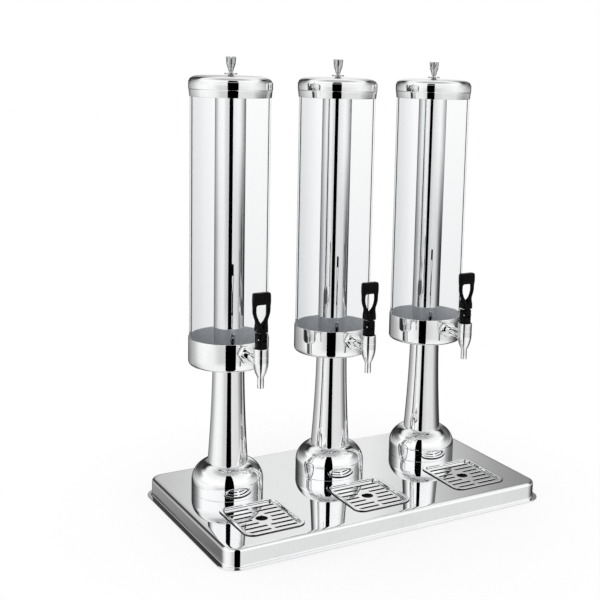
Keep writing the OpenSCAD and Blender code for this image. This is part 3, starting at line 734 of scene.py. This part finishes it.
make_each("spun_lid", "lid", spun_lid, TOWER, "polished steel", "polished_steel", rides="lid")
print("lid roof at", round(roof_z, 2), "mm above the base")

# %% Turned part of the finial
KNOB_H = 24.7
KNOB_ROOT_R, KNOB_ROOT_H = 4.2, 0.6
DISC_R, DISC_LIP_R = 8.3, 7.4
NECK_R, STEM_R = 2.6, 3.7
BOWL_R, BOWL_WALL = 6.6, 1.2
BOWL_IN = 0.48
gap_z = roof_z + KNOB_H * 0.7


def knob_outline():
    """Foot, disc with its lip, neck, stem and bowl of the finial."""
    disc, neck, stem, bend = (roof_z + KNOB_H * share for share in (0.123, 0.238, 0.354, 0.63))
    return rounded([
        (0, roof_z - KNOB_ROOT_H),
        (KNOB_ROOT_R, roof_z - KNOB_ROOT_H),
        (KNOB_ROOT_R, roof_z + 0.1, 0.3),
        (NECK_R, roof_z + 1.48, 0.4),
        (DISC_R, disc - 1.0, 0.35),
        (DISC_R, disc + 1.2, 0.3),
        (DISC_LIP_R, disc + 0.1, 0.5),
        (NECK_R, disc, 0.5),
        (NECK_R, neck, 0.4),
        (STEM_R, neck + 1.0, 0.4),
        (STEM_R, stem, 1.2),
        (BOWL_R - 0.6, bend, 2.0),
        (BOWL_R - BOWL_IN, gap_z + 0.1),
        (BOWL_R - BOWL_IN - BOWL_WALL, gap_z + 0.1),
        (BOWL_R - 2 * BOWL_WALL, bend, 1.0),
        (0, stem + 1.0),
    ], closed=False)


# %% Prongs of the finial
PRONGS = 6
PRONG_SHIFT = 0.75
PRONG_SINK = 0.2
PRONG_LEAN = 0.46
PRONG_THINS = 0.15
PRONG_ROOT_HALF, PRONG_NARROWS = 24.5, 7.0
PRONG_ACROSS, PRONG_UP = 8, 16


def prong(at, turn):
    """One prong: a strip of the bowl's wall that narrows a little towards its round tip."""
    points, faces = [], []
    foot = gap_z - PRONG_SINK
    for face in (0, 1):
        for j in range(PRONG_UP + 1):
            t = 1 - (1 - j / PRONG_UP) ** 2
            z = foot + (roof_z + KNOB_H - foot) * t
            radius = BOWL_R - PRONG_LEAN * (1 - t) - face * BOWL_WALL * (1 - PRONG_THINS * t)
            half = math.radians(PRONG_ROOT_HALF - PRONG_NARROWS * t) * math.sqrt(1 - t ** 16)
            for i in range(PRONG_ACROSS + 1):
                a = turn + half * (2 * i / PRONG_ACROSS - 1)
                points.append(at + Vector((radius * math.cos(a), radius * math.sin(a), z)) * MM)
    row = PRONG_ACROSS + 1
    sheet = row * (PRONG_UP + 1)
    for face in (0, 1):
        for j in range(PRONG_UP):
            for i in range(PRONG_ACROSS):
                k = face * sheet + j * row + i
                faces.append([k, k + 1, k + row + 1, k + row])
    rim = [j * row for j in range(PRONG_UP)] + [PRONG_UP * row + i for i in range(PRONG_ACROSS)]
    rim += [j * row + PRONG_ACROSS for j in range(PRONG_UP, 0, -1)] + list(range(PRONG_ACROSS, 0, -1))
    for a, b in zip(rim, rim[1:] + rim[:1]):
        faces.append([a, b, sheet + b, sheet + a])
    return points, faces


def crown_finial(at):
    prongs = [prong(at, 2 * math.pi * (k + PRONG_SHIFT) / PRONGS) for k in range(PRONGS)]
    return joined(spin(knob_outline(), at, closed=False, steps=SMALL_SPIN), *prongs)


make_each("crown_finial", "knob", crown_finial, TOWER, "cast finial", "polished_steel", rides="lid")
print("finial top at", round((PLATE + (roof_z + KNOB_H) * MM), 4), "m")

# %% [markdown]
# ## The tap
# The plated body is turned in one piece: a barrel that runs out in an ogive to the spout. Its threaded
# shank passes through cup and tank, with a six-sided shoulder outside. The spout is open below.

# %% Barrel and spout
SHANK_Z = 201.0
BARREL_R = 9.9
BARREL_TOP = SHANK_Z + 18.6
MOUTH_R, MOUTH_DEEP = 8.75, 1.4
GROOVE_TOP, GROOVE_HALF, GROOVE_DEEP = BARREL_TOP - 10.4, 0.3, 0.35
OGIVE_TOP = SHANK_Z + 2.0
OGIVE_H = 21.0
OGIVE_STEPS = 24
SPOUT_R, SPOUT_BORE_R = 4.3, 2.9
SPOUT_LOW = OGIVE_TOP - OGIVE_H - 14.2
BARREL_SPIN = 96


def barrel(at):
    fall = BARREL_R - SPOUT_R
    bow = (OGIVE_H ** 2 + fall ** 2) / (2 * fall)
    downs = [OGIVE_H * k / OGIVE_STEPS for k in range(OGIVE_STEPS + 1)]
    ogive = [(BARREL_R - bow + math.sqrt(bow ** 2 - down ** 2), OGIVE_TOP - down) for down in downs]
    upper = rounded([
        (MOUTH_R - 0.05, BARREL_TOP - MOUTH_DEEP),
        (MOUTH_R, BARREL_TOP, 0.3),
        (BARREL_R, BARREL_TOP, 0.7),
        (BARREL_R, GROOVE_TOP, 0.25),
        (BARREL_R - GROOVE_DEEP, GROOVE_TOP - GROOVE_HALF),
        (BARREL_R, GROOVE_TOP - 2 * GROOVE_HALF, 0.25),
        (BARREL_R, OGIVE_TOP + 1),
    ], closed=False)
    spout = rounded([
        (SPOUT_R, OGIVE_TOP - OGIVE_H - 0.6),
        (SPOUT_R, SPOUT_LOW, 0.5),
        (SPOUT_BORE_R, SPOUT_LOW, 0.5),
        (SPOUT_BORE_R, SHANK_Z - 10.0),
        (0, SHANK_Z - 9.0),
    ], closed=False)
    return spin(upper + ogive + spout, at, closed=False, steps=BARREL_SPIN)


# %% Six-sided shoulder
REACH = 98.7
HEX_FLATS = 20.0
HEX_LONG = 6.0
HEX_BACK = REACH - CUP_R - 2.5
HEX_FRONT = HEX_BACK - HEX_LONG
HEX_CHAMFER = 1.4
HEX_STEPS = 72


def hexagon(at):
    """A six-sided nut that lies along Y, its corners turned down at both ends."""
    corner = HEX_FLATS / math.sqrt(3)
    ends = ((HEX_FRONT, corner - HEX_CHAMFER), (HEX_FRONT + HEX_CHAMFER * 0.6, corner),
            (HEX_BACK - 0.3, corner), (HEX_BACK, corner - 0.4))
    points = []
    for y, limit in ends:
        for i in range(HEX_STEPS):
            a = 2 * math.pi * i / HEX_STEPS
            off_flat = (a + math.pi / 6) % (math.pi / 3) - math.pi / 6
            radius = min(HEX_FLATS / 2 / math.cos(off_flat), limit)
            points.append(at + Vector((radius * math.sin(a), y, SHANK_Z + radius * math.cos(a))) * MM)
    return points, bar(len(ends), HEX_STEPS)


# %% Shank, and the whole tap
SHANK_R = 6.2
SHANK_END = REACH - (TANK_R - TANK_WALL) + 9
RIDGE, RIDGE_PITCH = 0.45, 1.0
NECK_BACK_R, COLLAR_FRONT_R = 6.6, 7.6
COLLAR_FRONT, COLLAR_BACK = -6.0, -11.5


def shank(at):
    """The shank along Y: a collar by the barrel, a neck, and a thread of fine ridges inside the tank."""
    outline = [(0, -SHANK_END), (SHANK_R - 0.6, -SHANK_END)]
    y = -SHANK_END + 0.4
    while y < -HEX_BACK - 3:
        outline += [(SHANK_R, y), (SHANK_R - RIDGE, y + RIDGE_PITCH / 2)]
        y += RIDGE_PITCH
    outline += rounded([
        (SHANK_R - RIDGE, -HEX_BACK - 1),
        (NECK_BACK_R, -HEX_BACK + 1),
        (NECK_BACK_R, COLLAR_BACK - 1, 0.5),
        (COLLAR_FRONT_R, COLLAR_BACK, 0.5),
        (COLLAR_FRONT_R, COLLAR_FRONT),
        (0, COLLAR_FRONT),
    ], closed=False)
    return spin(outline, at + Vector((0, 0, SHANK_Z * MM)), closed=False, steps=SMALL_SPIN, lie=True)


make_each("plated_body", "tap_body", lambda at: joined(barrel(at), shank(at), hexagon(at)), TAP,
          "plated tap", "plated_brass")
print("tap from", round(SPOUT_LOW, 2), "to", round(BARREL_TOP, 2), "mm above the base")

# %% [markdown]
# A black moulded bonnet is screwed into the barrel. Its top is split into two cheeks that hold the pin, and
# the lever's tongue turns between them. Block and cheeks are prisms with rounded edges.

# %% A prism with rounded edges
EDGE_STEPS = 5


def shrunk(outline, by):
    """An outline moved inwards by an equal distance, corner by corner."""
    result = []
    count = len(outline)
    for k in range(count):
        here = Vector(outline[k])
        before = (here - Vector(outline[k - 1])).normalized()
        after = (Vector(outline[(k + 1) % count]) - here).normalized()
        inward = Vector((-(before + after).y, (before + after).x)).normalized()
        stretch = max(0.5, inward.dot(Vector((-after.y, after.x))))
        result.append(tuple(here + inward * (by / stretch)))
    return result


def prism(outline, low, high, edge_low, edge_high, at):
    """Points and faces of a counter-clockwise outline raised from low to high, edges rounded."""
    turns = [math.pi / 2 * k / EDGE_STEPS for k in range(EDGE_STEPS + 1)]
    levels = [(edge_low * (1 - math.sin(a)), low + edge_low * (1 - math.cos(a))) for a in turns]
    levels += [(edge_high * (1 - math.cos(a)), high - edge_high * (1 - math.sin(a))) for a in turns]
    points = []
    for by, z in levels:
        points += [at + Vector((x, y, z)) * MM for x, y in shrunk(outline, by)]
    return points, bar(len(levels), len(outline))


# %% Bonnets
BONNET_W = 13.4
BONNET_D = 14.0
BONNET_R = 4.0
BONNET_TOP = BARREL_TOP + 19.4
BONNET_PLUG_R = 8.6
CHEEK_SINK, CHEEK_EDGE, BLOCK_EDGE = 0.4, 0.7, 0.2
SLOT_HALF = 3.1
PIN_Y = 4.6
PIN_Z = BONNET_TOP - 7.1
SLOT_FLOOR = PIN_Z - 3.4


def bonnet_outline():
    x, y = BONNET_W / 2, BONNET_D / 2
    return rounded([(x, -y, BONNET_R), (x, y, BONNET_R), (-x, y, BONNET_R), (-x, -y, BONNET_R)])


def cheek_outline(side):
    """The part of the bonnet's outline on one side of the slot, counter-clockwise."""
    half = [(x, y) for x, y in bonnet_outline() if x > SLOT_HALF + 0.1]
    right = [(SLOT_HALF, HAIR - BONNET_D / 2)] + half + [(SLOT_HALF, BONNET_D / 2 - HAIR)]
    return right if side > 0 else [(-x, y) for x, y in reversed(right)]


def moulded_bonnet(at):
    low, high = BARREL_TOP - 1.5, BARREL_TOP + 0.3
    plug = rounded([(0, low), (BONNET_PLUG_R, low), (BONNET_PLUG_R, high, 0.4), (0, high)], closed=False)
    cheeks = [prism(cheek_outline(side), SLOT_FLOOR - CHEEK_SINK, BONNET_TOP, HAIR, CHEEK_EDGE, at)
              for side in (1, -1)]
    block = prism(bonnet_outline(), BARREL_TOP - 1, SLOT_FLOOR, BLOCK_EDGE, HAIR, at)
    return joined(spin(plug, at, closed=False, steps=SMALL_SPIN), block, *cheeks)


make_each("moulded_bonnet", "bonnet", moulded_bonnet, TAP, "black plastic", "black_plastic")
print("bonnet top", round(BONNET_TOP, 2), "mm above the base")

# %% [markdown]
# ## The lever
# The lever is a flat loop: a thick grip along the top, two arms that run together downwards, and a drop-
# shaped eye between them. It is made like a bent ring. Rays from the middle of the eye find its outer and
# inner edges, and at each ray a rounded section fills the space between them.

# %% Outlines of the lever
LEVER_Z = BONNET_TOP + 1.2
LEVER_TOP = BONNET_TOP + 51.8
NECK_TOP = LEVER_Z + 6.0
PADDLE_W = 24.2
ARM_T = 5.4
GRIP_T = 8.4
RIM_SIDE = 4.8
EYE_LOW, EYE_HIGH = LEVER_Z + 5.4, LEVER_Z + 34.8
EYE_MID = LEVER_Z + 25.5
EYE_CORNER = 2.6
LEVER_CORNER = 2.4


def ease(t):
    t = max(0.0, min(1.0, t))
    return (1 - math.cos(math.pi * t)) / 2


def above_neck(z):
    return (z - NECK_TOP) / (LEVER_TOP - NECK_TOP)


def corner_loss(left, corner):
    """What a round corner takes off the width at a distance left under the top."""
    return corner - math.sqrt(max(0.0, corner ** 2 - (corner - left) ** 2)) if left < corner else 0.0


def paddle_half(z):
    """Half the lever's width at a height."""
    if z < NECK_TOP:
        return BONNET_W / 2
    wide = BONNET_W / 2 + (PADDLE_W - BONNET_W) / 2 * ease(above_neck(z) / 0.5)
    wide -= PADDLE_W * 0.02 * ease((above_neck(z) - 0.6) / 0.4)
    return wide - corner_loss(LEVER_TOP - z, LEVER_CORNER)


def eye_half(z):
    """Half the eye's width at a height, with round corners at its top."""
    share = (z - EYE_LOW) / (EYE_HIGH - EYE_LOW)
    wide = (PADDLE_W / 2 - RIM_SIDE) * ease(0.12 + 0.88 * share / 0.75)
    return wide - corner_loss(EYE_HIGH - z, EYE_CORNER)


def half_depth(z):
    """Half the lever's thickness at a height."""
    if z < NECK_TOP:
        return BONNET_D / 2
    thinner = (BONNET_D - ARM_T) / 2 * ease(above_neck(z) / 0.25)
    return BONNET_D / 2 - thinner + (GRIP_T - ARM_T) / 2 * ease((above_neck(z) - 0.55) / 0.25)


# %% The ring of the lever
LEVER_EDGE = 2.0
RAYS, ROUND_STEPS, FLAT_STEPS = 144, 5, 4


def edge_along(angle, half_width, low, high):
    """Distance from the middle of the eye, along a ray, to an edge given by its half width."""
    near, far = 0.0, 80.0
    for _ in range(40):
        d = (near + far) / 2
        x, z = d * math.sin(angle), EYE_MID + d * math.cos(angle)
        inside = low < z < high and abs(x) < half_width(z)
        near, far = (d, far) if inside else (near, d)
    return near


def lever_section(inner, outer):
    """The section on one ray: distance from the eye's middle, side, and how far it lies under the face."""
    r = min(LEVER_EDGE, (outer - inner) / 2.2)
    turns = [math.pi / 2 * k / ROUND_STEPS for k in range(ROUND_STEPS + 1)]
    front = [(outer - r + r * math.cos(a), r * (1 - math.sin(a))) for a in turns]
    front += [(outer - r + (inner - outer + 2 * r) * k / FLAT_STEPS, 0) for k in range(1, FLAT_STEPS)]
    front += [(inner + r - r * math.sin(a), r * (1 - math.cos(a))) for a in turns]
    back = [(d, -1, lost) for d, lost in reversed(front)]
    return [(d, 1, lost) for d, lost in front] + back[1:-1]


def lever_ring(at):
    points, faces = [], []
    for i in range(RAYS):
        angle = 2 * math.pi * i / RAYS
        inner = edge_along(angle, eye_half, EYE_LOW, EYE_HIGH)
        outer = edge_along(angle, paddle_half, LEVER_Z, LEVER_TOP)
        for d, side, lost in lever_section(inner, outer):
            x, z = d * math.sin(angle), EYE_MID + d * math.cos(angle)
            points.append(at + Vector((x, -side * (half_depth(max(z, LEVER_Z)) - lost), z)) * MM)
    count = len(points) // RAYS
    for i in range(RAYS):
        faces += band(i * count, (i + 1) % RAYS * count, count)
    return points, faces


# %% The tongue, and the whole lever
TONGUE_HALF = SLOT_HALF - 0.3
PIN_BOSS = 2.2
FORK_END, FORK_TOP, FORK_LOW = 2.4, PIN_Z + 0.9, PIN_Z - 1.2


def lever_tongue(at):
    """The tongue between the cheeks, with a round eye about the pin and the fork behind it."""
    outline = arc(-PIN_Y, PIN_Z, PIN_BOSS, 270, 180, 9)
    outline += [(-PIN_Y - PIN_BOSS, LEVER_Z + 1), (1.6 - PIN_Y, LEVER_Z + 1), (1.6 - PIN_Y, FORK_TOP),
                (FORK_END, FORK_TOP), (FORK_END, FORK_LOW), (1.8 - PIN_Y, FORK_LOW)]
    points = [at + Vector((x, y, z)) * MM for x in (-TONGUE_HALF, TONGUE_HALF) for y, z in outline]
    return points, bar(2, len(outline))


make_each("eye_lever", "lever", lambda at: joined(lever_ring(at), lever_tongue(at)), TAP,
          "black plastic", "black_plastic", rides="lever")
print("lever from", round(LEVER_Z, 2), "to", round(LEVER_TOP, 2), "mm above the base")

# %% [markdown]
# ## The closing spring
# A wound wire sits inside the bonnet and presses the valve shut. It shortens when the lever lifts the
# stem.

# %% Springs
WIRE_R = 0.45
COIL_R = 3.9
TURNS = 7
TURN_STEPS, WIRE_STEPS = 28, 10
spring_low = SHANK_Z - 4.4 + WIRE_R
spring_high = BARREL_TOP + 1.4 - WIRE_R


def wound_spring(at):
    points = []
    steps = TURNS * TURN_STEPS
    for k in range(steps + 1):
        a = 2 * math.pi * k / TURN_STEPS
        z = spring_low + (spring_high - spring_low) * k / steps
        for j in range(WIRE_STEPS):
            b = 2 * math.pi * j / WIRE_STEPS
            r = COIL_R + WIRE_R * math.cos(b)
            points.append(at + Vector((r * math.cos(a), r * math.sin(a), z + WIRE_R * math.sin(b))) * MM)
    return points, bar(steps + 1, WIRE_STEPS)


springs = make_each("wound_spring", "spring", wound_spring, TAP, "plain steel", "plain_steel")
for s in SIDES:
    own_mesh(springs[s])

# %% [markdown]
# ## Drip trays and grilles
# A tray is pressed like the base, but upwards open: a flat rim that lies on the base, a ledge for the
# grille and a pocket below. The inside of the pocket is painted nearly black as painted shade, and so is the
# foot of the rim's outer edge, as a painted dark line of shade on the base. The grille is a flat plate with
# rows of slots and one finger hole.

# %% Trays
RIM_T = 1.6
RIM_W = 5.2
TRAY_R = 14.0
TRAY_T = 1.0
GRILLE_T = 1.8
GRILLE_TOP = RIM_T - 3.4
LEDGE_Z = GRILLE_TOP - GRILLE_T
LEDGE_W = 2.4
POCKET_R = TRAY_R - RIM_W - LEDGE_W
POCKET_Z = RIM_T - 17.0
FLOOR_R = 1.0
TRAY_X, TRAY_Y = 42.5 - TRAY_R, 48.5 - TRAY_R
tray_outline = rounded([
    (TRAY_R, TOUCH, 0.4),
    (TRAY_R, RIM_T, 0.7),
    (TRAY_R - RIM_W, RIM_T, 0.8),
    (TRAY_R - RIM_W - 0.2, LEDGE_Z, 0.5),
    (POCKET_R, LEDGE_Z, 0.5),
    (POCKET_R - 0.1, POCKET_Z + TRAY_T, 2.4),
    (FLOOR_R, POCKET_Z + TRAY_T),
    (FLOOR_R, POCKET_Z),
    (POCKET_R + 0.9, POCKET_Z, 3.2),
    (POCKET_R + 0.9, LEDGE_Z - TRAY_T),
    (TRAY_R - RIM_W, LEDGE_Z - TRAY_T, 0.5),
    (TRAY_R - RIM_W, TOUCH),
])


def pressed_tray(at):
    sides = sweep_round(at, TRAY_X, TRAY_Y, tray_outline)
    floors = [flat_sheet([loop_round(at, TRAY_X, TRAY_Y, FLOOR_R, z)]) for z in (POCKET_Z, POCKET_Z + TRAY_T)]
    return joined(sides, *floors)


def in_painted_shade(face, at):
    """Painted shade: the inside of the pocket under the ledge, and the lower part of the rim's outer edge."""
    spot = (face.center - at) / MM
    out = Vector((max(abs(spot.x) - TRAY_X, 0), max(abs(spot.y) - TRAY_Y, 0)))
    turned_in = face.normal.z > 0.3 or face.normal.xy.dot(spot.xy) < 0
    return (spot.z < LEDGE_Z - 0.6 and turned_in) or (out.length > TRAY_R - 0.3 and spot.z < RIM_T - 0.4)


trays = make_each("pressed_tray", "drip_tray", pressed_tray, TRAY, "polished steel", "polished_steel",
                  rides="drip_tray", weld=WELD)
# The pocket's inside and the rim's foot are painted nearly black as painted shade.
for s in SIDES:
    finish_inside(trays[s], "well in painted shade", in_painted_shade, TRAY[s])
print("tray pocket", round(-POCKET_Z, 2), "mm deep")

# %% Grilles
GRILLE_X, GRILLE_Y, GRILLE_R = 35.9, 41.9, 7.4
GRILLE_EDGE = 0.35
SLOT_W = 4.6
SLOT_PITCH = 11.2
SLOT_END = 34.0
SLOT_START_SHARES = (0.07, 0.07, 0.26, 0.38, 0.26, 0.07, 0.07)
HOLE_R = 7.8


def placed(at, loop):
    return [at + Vector((x, y, 0)) * MM for x, y in loop]


def grille_loops(at, z, widen=0):
    """Outer edge, finger hole and slots at a height, each cut wider by widen."""
    spot = at + Vector((0, 0, z)) * MM
    loops = [loop_round(spot, GRILLE_X - GRILLE_R, GRILLE_Y - GRILLE_R, GRILLE_R - widen),
             placed(spot, arc(0, 0, HOLE_R + widen, 0, 351, 39))]
    half = SLOT_W / 2
    for k, share in enumerate(SLOT_START_SHARES):
        y = (k - (len(SLOT_START_SHARES) - 1) / 2) * SLOT_PITCH
        for x0, x1 in ((SLOT_END * share, SLOT_END), (-SLOT_END, -SLOT_END * share)):
            ends = arc(x1 - half, y, half + widen, -90, 90, 8) + arc(x0 + half, y, half + widen, 90, 270, 8)
            loops.append(placed(spot, ends))
    return loops


def slotted_grille(at):
    top = grille_loops(at, GRILLE_TOP, GRILLE_EDGE)
    shoulder = grille_loops(at, GRILLE_TOP - GRILLE_EDGE)
    under = grille_loops(at, GRILLE_TOP - GRILLE_T)
    walls = [wall_between(a, b) for a, b in list(zip(shoulder, top)) + list(zip(under, shoulder))]
    return joined(flat_sheet(top), flat_sheet(under), *walls)


make_each("slotted_grille", "drip_grille", slotted_grille, TRAY, "polished steel", "polished_steel",
          rides="drip_grille", weld=WELD)
print("slots in a grille:", 2 * len(SLOT_START_SHARES))

# %% [markdown]
# ## Small pieces that stay as they are
# Washers, nuts, pins, rods and rubber rings have the right shape as solids. They only need a finish.

# %% Finish the small solids
PLAIN = {
    "feet": "black rubber", "foot_studs": "plain steel", "tie_rods": "plain steel", "rod_nuts": "plain steel",
    "tank_seals": "black rubber", "tap_nuts": "plain steel", "tap_washers": "pale rubber",
}
for s in SIDES:
    PLAIN[f"lever_pin_{s}"] = "plain steel"
    PLAIN[f"stem_{s}"] = "plain steel"
    PLAIN[f"seat_cup_{s}"] = "pale rubber"
for name, finish in PLAIN.items():
    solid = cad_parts[name]
    solid.data.materials.clear()
    solid.data.materials.append(LOOKS[finish])
print("solids that show:", sorted(PLAIN))

# %% [markdown]
# ## The studio
# Polished metal shows nothing of its own, only the room. So the room is painted for the mirrors: white
# paper walls at the sides and behind the camera, an unlit part straight ahead and low down, a lit patch
# on the back wall, and a dimmer ceiling. Six rings of brightness run round the room, one above the other,
# and each is a list of bearings off straight ahead with the brightness there. Plain surfaces and the
# camera get an even white room, so that a colour shows as it is written. Light Path's Glossy Depth tells
# the two apart.

# %% Brightness round the room
NEAR_TABLE = ((-180, 0.92), (-150, 1.0), (-110, 0.95), (-92, 0.60), (-76, 0.24), (-60, 0.16), (-30, 0.06),
              (-20, 0.03), (0, 0.02), (60, 0.06), (80, 0.45), (98, 0.95), (130, 1.04), (160, 1.0),
              (180, 0.92))
TABLE = ((-180, 0.66), (-162, 0.70), (-145, 0.95), (-118, 1.05), (-96, 0.95), (-77, 0.60), (-54, 0.39),
         (-38, 0.29), (-25, 0.05), (0, 0.02), (60, 0.06), (72, 0.14), (90, 0.44), (108, 0.80), (150, 0.84),
         (180, 0.66))
LEVEL = ((-180, 0.70), (-155, 0.80), (-137, 1.05), (-110, 1.12), (-92, 1.03), (-70, 0.70), (-48, 0.44),
         (-33, 0.30), (-23, 0.06), (0, 0.02), (20, 0.05), (34, 0.40), (68, 0.62), (90, 0.90), (112, 1.02),
         (150, 0.88), (180, 0.70))
WALL = ((-180, 0.90), (-150, 1.0), (-135, 1.10), (-90, 0.95), (-66, 0.50), (-52, 0.30), (-40, 0.05),
        (-14, 0.03), (-8, 0.70), (-3, 0.97), (6, 0.97), (12, 0.30), (18, 0.05), (40, 0.08), (60, 0.40),
        (76, 0.70), (110, 1.05), (180, 0.90))
RISE = ((-180, 1.1), (-150, 1.2), (-106, 1.2), (-96, 1.1), (-88, 0.84), (-78, 0.45), (-66, 0.25), (-50, 0.08),
        (-24, 0.03), (-14, 0.46), (-6, 0.86), (0, 0.88), (4, 0.60), (8, 0.31), (20, 0.12), (44, 0.17),
        (58, 0.18), (68, 0.31), (78, 0.44), (88, 0.84), (104, 1.1), (120, 1.2), (180, 1.1))
HIGH = ((-180, 1.1), (-78, 1.1), (-62, 0.40), (-52, 0.04), (-24, 0.02), (-14, 0.80), (0, 1.0), (14, 0.80),
        (24, 0.02), (52, 0.04), (62, 0.40), (78, 1.1), (180, 1.1))
print("room painted with", sum(map(len, (NEAR_TABLE, TABLE, LEVEL, WALL, RISE, HIGH))), "stops")

# %% Bearing and height of a ray in the room
AHEAD = math.radians(31.7)
world = bpy.data.worlds.new("studio")
bpy.context.scene.world = world
world.use_nodes = True
tree = world.node_tree
tree.nodes.clear()
way = add_node(tree, "ShaderNodeTexCoord").outputs["Generated"]
height = add_node(tree, "ShaderNodeSeparateXYZ", {0: way}).outputs["Z"]
along = dot(tree, way, (math.sin(AHEAD), math.cos(AHEAD), 0))
aside = dot(tree, way, (math.cos(AHEAD), -math.sin(AHEAD), 0))
bearing = spread(tree, maths(tree, "ARCTAN2", aside, along), -math.pi, math.pi)


# %% Stack the rings by height and close them overhead
def grey(bright):
    return bright, bright, bright


def ring_of(stops):
    """Brightness round the room from (degrees off straight ahead, brightness) pairs."""
    ramp = add_node(tree, "ShaderNodeValToRGB", {0: bearing})
    keys = ramp.color_ramp.elements
    while len(keys) < len(stops):
        keys.new(0.5)
    for key, (degrees, bright) in zip(keys, stops):
        key.position = degrees / 360 + 0.5
        key.color = (*grey(bright), 1)
    return ramp.outputs[0]


def in_mirrors(tree):
    """1 for rays that a mirror has sent on, and 0 for all others."""
    rays = add_node(tree, "ShaderNodeLightPath")
    return maths(tree, "GREATER_THAN", rays.outputs["Glossy Depth"], 0.5)


room = ring_of(NEAR_TABLE)
for low, high, stops in ((-0.37, -0.32, TABLE), (-0.20, -0.10, LEVEL), (-0.03, 0.03, WALL),
                         (0.12, 0.28, RISE), (0.44, 0.52, HIGH)):
    room = blend(tree, spread(tree, height, low, high), room, ring_of(stops))
for low, high, bright in ((0.62, 0.72, 1.0), (0.82, 0.96, 0.50)):
    room = blend(tree, spread(tree, height, low, high), room, grey(bright))
shown = blend(tree, in_mirrors(tree), grey(1.0), room)
light = add_node(tree, "ShaderNodeBackground", {"Color": shown, "Strength": 1.0})
add_node(tree, "ShaderNodeOutputWorld", {"Surface": light.outputs[0]})
print("nodes in the studio:", len(tree.nodes))

# %% [markdown]
# The floor is pale and plain. The camera sees it white with the soft shadow of the object, and it fades
# into the white of the background. A mirror looks through it and sees the room, as over a glossy table.
# The black card with the lens in it stands in front. Only mirrors see it: it draws the narrow black line
# down the middle of every tube.

# %% Looks of floor and card
def plain_look(name, bright, rough):
    tree, shader = new_look(name)
    set_sockets(shader, Base_Color=(*grey(bright), 1), Roughness=rough, Specular_IOR_Level=0.0)
    return tree, shader.outputs[0]


def only_in_mirrors(tree, elsewhere, mirrored):
    """Shows one shader to rays that a mirror has sent on, and the other to all the rest."""
    mix = add_node(tree, "ShaderNodeMixShader", {0: in_mirrors(tree), 1: elsewhere, 2: mirrored})
    tree.links.new(mix.outputs[0], tree.nodes["Material Output"].inputs["Surface"])


tree, matt = plain_look("pale floor", 0.97, 0.9)
rays = add_node(tree, "ShaderNodeLightPath").outputs
place = add_node(tree, "ShaderNodeTexCoord").outputs["Object"]
away = add_node(tree, "ShaderNodeVectorMath", {0: place}, operation="LENGTH").outputs["Value"]
looked_at = maths(tree, "MAXIMUM", rays["Is Camera Ray"], rays["Is Transmission Ray"])
fade = maths(tree, "MULTIPLY", spread(tree, away, 0.20, 0.42, 0.66, 1.0), looked_at)
white = add_node(tree, "ShaderNodeEmission", {"Color": (*grey(1.0), 1), "Strength": 1.0})
paper = add_node(tree, "ShaderNodeMixShader", {0: fade, 1: matt, 2: white.outputs[0]})
only_in_mirrors(tree, paper.outputs[0], add_node(tree, "ShaderNodeBsdfTransparent").outputs[0])
tree, matt = plain_look("black card", 0.0, 1.0)
only_in_mirrors(tree, add_node(tree, "ShaderNodeBsdfTransparent").outputs[0], matt)

# %% Floor and card
FLOOR_HALF = 6.0
CARD_AT = Vector((-0.320, -0.485, 0))
CARD_HALF = 0.145
CARD_LOW, CARD_HIGH = -1.2, 1.3


def stage_plane(name, corners, look):
    mesh = bpy.data.meshes.new(name)
    mesh.from_pydata(corners, [], [[0, 1, 2, 3]])
    plane = bpy.data.objects.new(name, mesh)
    bpy.context.scene.collection.objects.link(plane)
    mesh.materials.append(LOOKS[look])
    return plane


corners = [(sx * FLOOR_HALF, sy * FLOOR_HALF, 0) for sx, sy in ((-1, -1), (1, -1), (1, 1), (-1, 1))]
stage_plane("floor", corners, "pale floor")
facing = Vector((-CARD_AT.y, CARD_AT.x, 0)).normalized()
left, right = CARD_AT - facing * CARD_HALF, CARD_AT + facing * CARD_HALF
card = stage_plane("card", [(left.x, left.y, CARD_LOW), (right.x, right.y, CARD_LOW),
                            (right.x, right.y, CARD_HIGH), (left.x, left.y, CARD_HIGH)], "black card")
card.visible_camera = False
card.visible_diffuse = False
card.visible_shadow = False
print("card", 2 * CARD_HALF, "m wide")

# %% [markdown]
# ## The camera
# The camera stands to the left in front of the dispenser, a little above its lids, and looks slightly
# down. Its frame is shifted, as when a picture is cropped from a larger one.

# %% Camera
FRAME_PX = 600
FOCAL_PX = 1097.112
YAW, PITCH, ROLL = math.radians(31.695), math.radians(-8.58), math.radians(1.622)
CROP_X, CROP_Y = 74.83, -75.29
CAMERA_AT = (-0.742927, -1.264910, 0.607080)
SENSOR_MM = 36.0
camera_data = bpy.data.cameras.new("camera")
camera = bpy.data.objects.new("camera", camera_data)
bpy.context.scene.collection.objects.link(camera)
bpy.context.scene.camera = camera
camera.location = CAMERA_AT
ahead = Vector((math.sin(YAW) * math.cos(PITCH), math.cos(YAW) * math.cos(PITCH), math.sin(PITCH)))
across = ahead.cross(Vector((0, 0, 1))).normalized()
above = across.cross(ahead)
right_way = across * math.cos(ROLL) + above * math.sin(ROLL)
up_way = above * math.cos(ROLL) - across * math.sin(ROLL)
camera.rotation_mode = "QUATERNION"
camera.rotation_quaternion = Matrix((right_way, up_way, -ahead)).transposed().to_quaternion()
camera_data.sensor_width = SENSOR_MM
camera_data.lens = FOCAL_PX / FRAME_PX * SENSOR_MM
camera_data.shift_x = -CROP_X / FRAME_PX
camera_data.shift_y = CROP_Y / FRAME_PX
camera_data.clip_start, camera_data.clip_end = 0.01, 50.0
print("lens in mm:", round(camera_data.lens, 2))

# %% [markdown]
# ## View
# The view transform is plain, so a colour shows as it is written.

# %% View transform
bpy.context.scene.view_settings.view_transform = "Standard"
